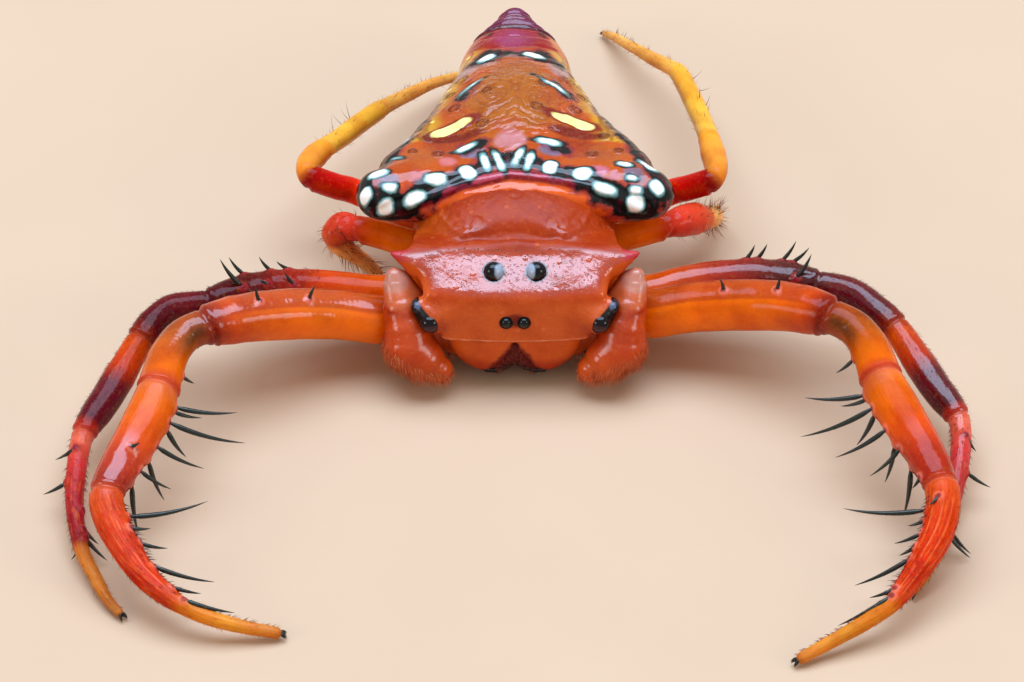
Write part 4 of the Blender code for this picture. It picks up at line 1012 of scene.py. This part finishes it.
amber_leg = leg_cuticle()
legs = {}
for name, stops in LEG_LINES.items():
    pair = name[:5]
    line, station = smooth_line(stops, 0.016)
    heading, front, top = directions(line)
    thick = np.interp(station, *np.array(THICKNESS[pair]).T)
    for _ in range(4):
        thick[1:-1] = thick[1:-1] * 0.5 + (thick[:-2] + thick[2:]) * 0.25
    run = np.concatenate([[0], np.cumsum(np.linalg.norm(np.diff(line, axis=0), axis=1))])
    for end in (run, run[-1] - run):
        near = np.clip(end / np.maximum(thick, 0.03), 0, 1)
        thick = thick * np.sqrt(1 - (1 - near) ** 2)
    legs[name] = dict(line=line, station=station, heading=heading, front=front, top=top, thick=thick, run=run)
    parts = bmesh.new()
    bmesh.ops.create_uvsphere(parts, u_segments=64 if pair in ("leg_1", "leg_2") else 48,
                              v_segments=len(line) - 1, radius=1.0)
    globe = np.array([v.co for v in parts.verts])
    ring = np.rint(np.arccos(np.clip(globe[:, 2], -1, 1)) / math.pi * (len(line) - 1)).astype(int)
    turn = np.arctan2(globe[:, 1], globe[:, 0])
    at, along = station[ring], run[ring]
    groove, collar, socket = np.zeros((3, len(turn)))
    for joint in range(2, int(station[-1])):
        here = run[np.argmin(abs(station - joint))]
        tilt = 0.08 * np.cos(turn) * (1 if joint == 2 else 0.3)
        groove = np.maximum(groove, hump(along - here - tilt, 0.03))
        collar = np.maximum(collar, hump(along - here + 0.07 - tilt, 0.035))
    height = -0.12 * thick[ring] * groove + 0.04 * thick[ring] * collar
    for where, around, *_ in SPINES.get(name, ()):
        k = int(np.argmin(abs(station - where)))
        aside = np.angle(np.exp(1j * (turn - math.radians(around)))) * thick[k]
        away = np.hypot(along - run[k], aside)
        height += 0.035 * hump(away, 0.075)
        socket = np.maximum(socket, hump(away, 0.1))
    if pair == "leg_1":
        comb = span(at, 4.1, 4.3, 4.9, 4.98) * hump(np.angle(np.exp(1j * (turn - 1.35))), 0.3)
        height += 0.018 * comb * (0.5 + 0.5 * np.cos(along * 62))
        ribs = span(at, 4.05, 4.2, 4.9, 4.98)
        height += 0.004 * ribs * np.cos(turn * 11)
    else:
        comb = ribs = np.zeros(len(turn))
    flat = 0.008 * np.cos(4 * turn - 1.4) * span(at, 1.0, 1.2, 3.9, 4.1)
    if pair == "leg_1":
        flat = flat + 0.03 * hump(turn - 0.66, 0.08) * span(at, 1.0, 1.2, 1.85, 1.96)
    height += thick[ring] * (0.02 * ripple(np.stack([along, turn * 0.4, along * 0], axis=1), 2.6, 41) - flat)
    around = np.cos(turn)[:, None] * top[ring] + np.sin(turn)[:, None] * front[ring]
    size = np.where(abs(globe[:, 2]) > 0.999999, 0, thick[ring] + np.minimum(height, thick[ring]))
    places = line[ring] + around * size[:, None]
    for vert, place in zip(parts.verts, places):
        vert.co = place * MM
    bmesh.ops.recalc_face_normals(parts, faces=parts.faces)
    leg = set_out(parts, name)
    table = [(s, *screen(*c)) for s, c in TINTS[pair]]
    tints = np.stack([np.interp(at, [t[0] for t in table], [t[k] for t in table]) for k in (1, 2, 3)], axis=1)
    wave = ripple(places, 2.4, 31)
    upper = step(np.cos(turn), 0.1, 0.6)
    if pair == "leg_1":
        tints = lay(
            tints,
            # the top of the femur is laid darker brown: partly its own colour, partly painted shade against
            # the light from overhead
            ((164, 54, 24), upper * drop(turn, 0.6, 0.7) * span(at, 1.0, 1.2, 1.85, 1.97) * 0.75),
            ((196, 80, 4), hump(turn - 0.9, 0.3) * span(at, 1.0, 1.2, 1.85, 1.97) * 0.6),
            ((116, 34, 10), hump(turn + 0.55, 0.16) * span(at, 1.1, 1.3, 1.7, 1.9) * 0.7))
        edge = hump(abs(turn) - 1.0, 0.4) * span(at, 2.02, 2.12, 2.4, 2.8)
        tints = lay(
            tints,
            ((84, 44, 18), edge * 0.85),
            ((240, 150, 90), ribs * step(np.cos(turn * 11), 0.75, 0.95) * step(wave, -0.3, 0.2) * 0.35),
            ((110, 10, 40), comb * 0.7))
    if pair == "leg_2":
        tints = lay(tints, ((190, 60, 16), drop(np.cos(turn), -0.7, -0.2) * step(at, 1.2, 1.5) * 0.6))
    if pair == "leg_4":
        rim = hump(abs(turn) - 1.4, 0.3)
        tints = lay(
            tints,
            ((206, 60, 20), rim * span(at, 1.1, 1.3, 1.9, 1.98) * 0.7),
            ((176, 124, 10), rim * span(at, 3.0, 3.1, 3.9, 4.0) * 0.6),
            ((206, 104, 20), rim * span(at, 2.03, 2.1, 2.9, 3.0) * 0.7))
    tints = lay(
        tints,
        ((226, 110, 80), groove * step(at, 2.5, 2.9) * (0.4 if pair in ("leg_1", "leg_3") else 0.15)),
        ((236, 130, 110) if pair == "leg_1" else (170, 50, 50), step(socket, 0.25, 0.7) * 0.6),
        ((110, 12, 40), step(socket, 0.72, 0.9) * 0.8))
    tints = tints * (1 + 0.12 * wave[:, None])
    dull = np.interp(at, *DULL[pair])
    paint(leg, np.clip(tints, 0, 1), Dull=dull, Gloss=sheen(leg, np.interp(at, *GLOSS[pair])))
    grain = np.stack([np.cos(turn) * thick[ring], np.sin(turn) * thick[ring], along * 0.12], axis=1)
    streaks = leg.data.attributes.new("Grain", "FLOAT_VECTOR", "POINT")
    streaks.data.foreach_set("vector", grain.astype(np.float32).ravel())
    finish_piece(leg, amber_leg, SLOTS[pair], *[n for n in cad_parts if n.startswith(name)])

# Leg spines
# Long stiff spines on the front two pairs, black-green and polished, each pinched at its
# root in a small socket. They slant forwards and in, to close on prey like a basket.


def black_horn():
    made, tree, shader = new_finish("black_spine")
    fine = noise(tree, 14.0, 4.0)
    recolour(tree, ramp(tree, fine, 0.4, 0.7, 0, 0.5), screen(10, 14, 12))
    tree.links.new(ramp(tree, fine, 0.3, 0.7, 0.2, 0.36), shader.inputs["Roughness"])
    emboss(tree, fine, 0.003)
    return made


# how far up a spine, and how wide it is there as a share of its full width
THORN_SHAPE = ((0, .03, .07, .14, .3, .55, .8, 1), (.6, .62, .72, 1, .98, .74, .42, .05))


def thorn(parts, root, reach, stout, heading):
    """One spine as a drawn-out globe: pinched at the root, widest a little way up, curving to its point."""
    reach = Vector(reach)
    length, way = reach.length, reach.normalized()
    aside = way.cross(heading).normalized()
    bow = aside.cross(way).normalized()
    width = (0.026 + 0.014 * min(length, 1.1)) * stout
    for vert in bmesh.ops.create_uvsphere(parts, u_segments=12, v_segments=26, radius=1.0)["verts"]:
        share = math.acos(max(-1, min(1, -vert.co.z))) / math.pi
        turn = math.atan2(vert.co.y, vert.co.x)
        wide = width * float(np.interp(share, *THORN_SHAPE))
        wide = 0 if abs(vert.co.z) > 0.99999 else wide
        vert.co = (Vector(root) + way * (share * length) + bow * (0.22 * length * share * (1 - share))
                   + (aside * math.cos(turn) + bow * math.sin(turn)) * wide) * MM


# the least height of a spine's point over the floor, and how much longer than measured each spine is drawn
SPINE_CLEARANCE, SPINE_STRETCH = 0.05, 1.04
black_spine = black_horn()
for name, rows in SPINES.items():
    leg = legs[name]
    parts = bmesh.new()
    for where, around, *reach, stout in rows:
        k = int(np.argmin(abs(leg["station"] - where)))
        turn = math.radians(around)
        out = Vector(math.cos(turn) * leg["top"][k] + math.sin(turn) * leg["front"][k])
        root = Vector(leg["line"][k]) + out * leg["thick"][k]
        reach = Vector(reach) * SPINE_STRETCH
        reach.z = max(reach.z, SPINE_CLEARANCE - root.z)
        thorn(parts, root, reach, stout, Vector(leg["heading"][k]))
    bmesh.ops.recalc_face_normals(parts, faces=parts.faces)
    spines = set_out(parts, f"spines_{name}")
    paint(spines, np.tile(screen(26, 36, 32), (len(spines.data.vertices), 1)))
    finish_piece(spines, black_spine, SLOTS[name[:5]])

# Hairs and claws
# Fine stiff hairs stand on the palps, the jaws and the legs, closest on the hind shins.
# Each is a thin bent cone set in the skin. Every foot ends in two small dark claws.


def hair_pattern():
    """One hair, a unit long: a thin cone of three sides, cut twice across so that it can bend."""
    parts = bmesh.new()
    bmesh.ops.create_cone(parts, cap_ends=True, segments=3, radius1=1.0, radius2=0.08, depth=1.0,
                          matrix=Matrix.Translation((0, 0, 0.5)))
    for level in (0.35, 0.7):
        bmesh.ops.bisect_plane(parts, geom=[*parts.verts, *parts.edges, *parts.faces], plane_co=(0, 0, level),
                               plane_no=(0, 0, 1))
    bmesh.ops.triangulate(parts, faces=parts.faces)
    parts.verts.index_update()
    places = np.array([v.co for v in parts.verts])
    corners = np.array([[v.index for v in f.verts] for f in parts.faces])
    parts.free()
    return places, corners


def hair_shaft():
    made, tree, shader = new_finish("hair")
    fine = noise(tree, 9.0, 3.0)
    recolour(tree, ramp(tree, fine, 0.4, 0.7, 0, 0.4), (0.3, 0.12, 0.05), "MULTIPLY")
    tree.links.new(ramp(tree, fine, 0.3, 0.7, 0.3, 0.5), shader.inputs["Roughness"])
    return made


HAIR, HAIR_FACES = hair_pattern()
LOWEST_HAIR = 0.004
hair = hair_shaft()


def coat(name, roots, ways, bends, lengths, widths, tints, unwrap):
    """Joins hairs into one piece. Each hair's patch of the unwrap lies at its root's place on the skin."""
    roots, ways, bends = np.array(roots), np.array(ways), np.array(bends)
    lengths, widths = np.array(lengths)[:, None], np.array(widths)[:, None]
    ways = ways / np.linalg.norm(ways, axis=1)[:, None]
    aside = np.cross(ways, bends)
    aside /= np.linalg.norm(aside, axis=1)[:, None]
    bends = np.cross(aside, ways)
    rise = HAIR[:, 2]
    moves = ((ways * lengths, rise), (bends * lengths, 0.22 * rise * rise),
             (aside * widths, HAIR[:, 0]), (bends * widths, HAIR[:, 1]))
    points = (roots[:, None] + sum(way[:, None] * amount[:, None] for way, amount in moves)).reshape(-1, 3)
    points[:, 2] = np.maximum(points[:, 2], LOWEST_HAIR)
    faces = (HAIR_FACES[None] + (np.arange(len(roots)) * len(HAIR))[:, None, None]).reshape(-1, 3)
    mesh = bpy.data.meshes.new(name)
    mesh.from_pydata((points * MM).tolist(), [], faces.tolist())
    mesh.polygons.foreach_set("use_smooth", [True] * len(mesh.polygons))
    patch = np.repeat(np.array(unwrap), len(HAIR), axis=0) + np.tile(
        np.stack([HAIR[:, 0] * 0.0007, HAIR[:, 2] * 0.003 - 0.0015], axis=1), (len(roots), 1))
    layer = mesh.uv_layers.new(name="OFBake")
    layer.data.foreach_set("uv", patch[faces.ravel()].astype(np.float32).ravel())
    piece = bpy.data.objects.new(name, mesh)
    bpy.context.scene.collection.objects.link(piece)
    paint(piece, np.repeat(np.array(tints), len(HAIR), axis=0))
    return piece


# where hairs grow on each pair: stations, turns in degrees, count, length, width, lean and colour
GROWTH = {
    "leg_1": (
        (2.1, 3.95, -180, 180, 120, 0.07, 0.004, 0.9, (150, 50, 20)),
        (4.05, 4.98, -180, 180, 420, 0.09, 0.005, 1.4, (150, 40, 16)),
        (5.03, 5.93, 40, 110, 90, 0.07, 0.007, 0.8, (130, 30, 16)),
        (5.03, 5.93, -180, 180, 160, 0.07, 0.004, 1.2, (206, 130, 50)),
        (4.1, 4.95, 55, 95, 56, 0.12, 0.01, 0.5, (70, 10, 24))),
    "leg_2": (
        (1.5, 2.0, -130, 80, 170, 0.07, 0.004, 1.0, (110, 50, 50)),
        (2.05, 3.0, -140, 100, 260, 0.07, 0.004, 1.0, (110, 50, 50)),
        (3.05, 3.98, -140, 100, 280, 0.075, 0.004, 1.0, (110, 50, 50)),
        (4.03, 4.98, -160, 160, 260, 0.1, 0.005, 1.0, (120, 40, 40)),
        (5.02, 5.93, -180, 180, 140, 0.08, 0.004, 1.0, (170, 110, 50))),
    "leg_3": (
        (2.1, 2.95, -180, 180, 50, 0.14, 0.006, 0.5, (150, 60, 30)),
        (3.0, 4.9, -180, 180, 50, 0.3, 0.007, 0.7, (130, 66, 30)),
        (3.0, 4.9, -180, 180, 110, 0.2, 0.005, 1.0, (220, 150, 70))),
    "leg_4": (
        (3.05, 4.0, -180, 180, 50, 0.12, 0.004, 0.8, (190, 120, 40)),
        (4.02, 5.0, -180, 180, 60, 0.12, 0.004, 0.9, (180, 120, 50)),
        (4.02, 5.9, 60, 160, 44, 0.17, 0.006, 0.7, (120, 70, 30)),
        (3.1, 3.9, 20, 160, 6, 0.26, 0.007, 0.3, (90, 44, 20)),
        (5.0, 5.93, -180, 180, 70, 0.08, 0.004, 1.0, (180, 120, 60)))}
draw = random.Random(7)
for name, leg in legs.items():
    roots, ways, bends, lengths, widths, tints, unwrap = [], [], [], [], [], [], []
    for low, high, turn_a, turn_b, count, length, width, lean, colour in GROWTH[name[:5]]:
        for _ in range(count):
            where, around = draw.uniform(low, high), math.radians(draw.uniform(turn_a, turn_b))
            k = int(np.argmin(abs(leg["station"] - where)))
            out = math.cos(around) * leg["top"][k] + math.sin(around) * leg["front"][k]
            side = np.cross(out, leg["heading"][k])
            roots.append(leg["line"][k] + out * leg["thick"][k] * 0.96)
            lying = leg["heading"][k] * lean * draw.uniform(0.7, 1.2)
            ways.append(out + lying + side * draw.uniform(-0.3, 0.3))
            bends.append(leg["heading"][k] + 0.001)
            lengths.append(length * draw.uniform(0.6, 1.25))
            widths.append(width * draw.uniform(0.8, 1.15))
            tints.append(np.array(screen(*colour)) * draw.uniform(0.7, 1.2))
            unwrap.append((0.02 + 0.96 * where / 6, 0.5 + 0.48 * around / math.pi))
    grown = coat(f"hairs_{name}", roots, ways, bends, lengths, widths, tints, unwrap)
    finish_piece(grown, hair, SLOTS[name[:5]])

CLAW_CLEARANCE, TUFT_CLEARANCE, TUFT_HAIRS = 0.025, 0.02, 26
for name, leg in legs.items():
    parts = bmesh.new()
    tip, heading, front, top = (Vector(leg[key][-3]) for key in ("line", "heading", "front", "top"))
    grow = 1.0 if name[:5] in ("leg_1", "leg_2") else 0.7
    for aside in (-1, 1):
        start = tip + front * 0.03 * aside
        for lift, down in ((0.0, 1.0), (0.03, 0.8)):
            reach = (heading * 0.1 + front * 0.02 * aside - top * 0.05 * down) * grow
            reach.z = max(reach.z, CLAW_CLEARANCE - start.z)
            thorn(parts, start + top * lift * grow, reach, 0.75 * grow, top)
    for _ in range(TUFT_HAIRS):
        way = heading + front * draw.uniform(-0.8, 0.8) + top * draw.uniform(-0.3, 0.8)
        root, reach = tip - heading * draw.uniform(0, 0.06), way.normalized() * 0.08 * grow
        reach.z = max(reach.z, TUFT_CLEARANCE - root.z)
        thorn(parts, root, reach, 0.3, top)
    bmesh.ops.recalc_face_normals(parts, faces=parts.faces)
    claws = set_out(parts, f"claws_{name}")
    paint(claws, np.tile(screen(24, 26, 26), (len(claws.data.vertices), 1)))
    finish_piece(claws, black_spine, SLOTS[name[:5]])


def grow_on(skin, count, length, width, seed, keep, lean, colours):
    """Picks points of a skin inside the kept region, and grows a hair from each."""
    pick = random.Random(seed)
    mesh = skin.data
    chosen = [v for v in mesh.vertices if keep(v.co / MM, v.normal)]
    chosen = pick.sample(chosen, min(count, len(chosen)))
    rows = [[] for _ in range(7)]
    for v in chosen:
        spread = Vector([pick.uniform(-0.25, 0.25) for _ in range(3)])
        place = v.co / MM
        hang = Vector(lean(place))
        row = (place - v.normal * 0.01, v.normal + hang + spread, hang + Vector((0.001, 0, 0.002)),
               length * pick.uniform(0.6, 1.2), width * pick.uniform(0.8, 1.2),
               np.array(screen(*pick.choice(colours))) * pick.uniform(0.8, 1.15),
               (0.5 + place.x / 8, 0.5 + place.y / 16 + place.z / 16))
        for column, value in zip(rows, row):
            column.append(np.array(value) if isinstance(value, Vector) else value)
    return coat(f"hairs_{skin.name}", *rows)


for hand, side in (("left", 1), ("right", -1)):
    fringe = grow_on(bpy.data.objects[f"palp_skin_{hand}"], count=1500, length=0.12, width=0.0045,
                     seed=3 + side,
                     keep=lambda q, n: q.z < 0.5 * abs(q.x) - 0.02 and n.z > -0.9,
                     lean=lambda q: (-0.25 * side, -0.4, -1.0),
                     colours=((206, 96, 40), (186, 70, 26), (222, 130, 70)))
    finish_piece(fringe, hair, "palp")
    tuft = grow_on(bpy.data.objects[f"jaw_{hand}"], count=420, length=0.09, width=0.006, seed=13 + side,
                   keep=lambda q, n: n.x * side < -0.3 and q.y < -0.9 and q.z < 0.95 and n.y < -0.2,
                   lean=lambda q: (-0.5 * side, -0.6, -0.5),
                   colours=((120, 20, 14), (84, 10, 12), (176, 50, 30)))
    finish_piece(tuft, hair, "jaw")

# Studio
# A pale floor, one wide soft light overhead and a softer one at each side, and a long
# lens that looks down at the spider from the front.

parts = bmesh.new()
bmesh.ops.create_grid(parts, x_segments=1, y_segments=1, size=0.6)
floor = set_out(parts, "floor")
paper, tree, shader = new_finish("pale_paper", tinted=False)
tree.links.new(mix_colour(tree, noise(tree, 0.25, 5.0), (0.56, 0.4, 0.27), (0.6, 0.44, 0.31)),
               shader.inputs["Base Color"])
shader.inputs["Roughness"].default_value = 0.7
floor.data.materials.append(paper)


def softbox(name, place, size, power, colour):
    """A soft oval light that faces the spider."""
    lamp = bpy.data.lights.new(name, "AREA")
    lamp.shape, lamp.size, lamp.size_y, lamp.energy, lamp.color = "ELLIPSE", *size, power, colour
    made = bpy.data.objects.new(name, lamp)
    bpy.context.scene.collection.objects.link(made)
    made.location = place
    made.rotation_euler = (-Vector(place)).to_track_quat("-Z", "Y").to_euler()


softbox("overhead", (0, 0.028, 0.137), (0.2, 0.116), power=0.36, colour=(0.64, 0.8, 1.0))
for hand, side in (("right_side", 1), ("left_side", -1)):
    softbox(hand, (side * 0.13, -0.06, 0.06), (0.06, 0.06), power=0.045, colour=(1, 0.92, 0.84))
world = bpy.data.worlds.new("soft_room")
bpy.context.scene.world = world
world.use_nodes = True
room = world.node_tree.nodes["Background"].inputs
room["Color"].default_value, room["Strength"].default_value = (1.0, 0.88, 0.76, 1), 0.5
bpy.context.scene.view_settings.view_transform = "Standard"

camera = bpy.data.objects.new("camera", bpy.data.cameras.new("camera"))
bpy.context.scene.collection.objects.link(camera)
camera.location = Vector((-0.0469, -74.468, 66.913)) * MM
camera.rotation_euler = (math.radians(48), 0, 0)
camera.data.lens, camera.data.sensor_width = 225, 36
camera.data.clip_start, camera.data.clip_end = 0.005, 10
bpy.context.scene.camera = camera
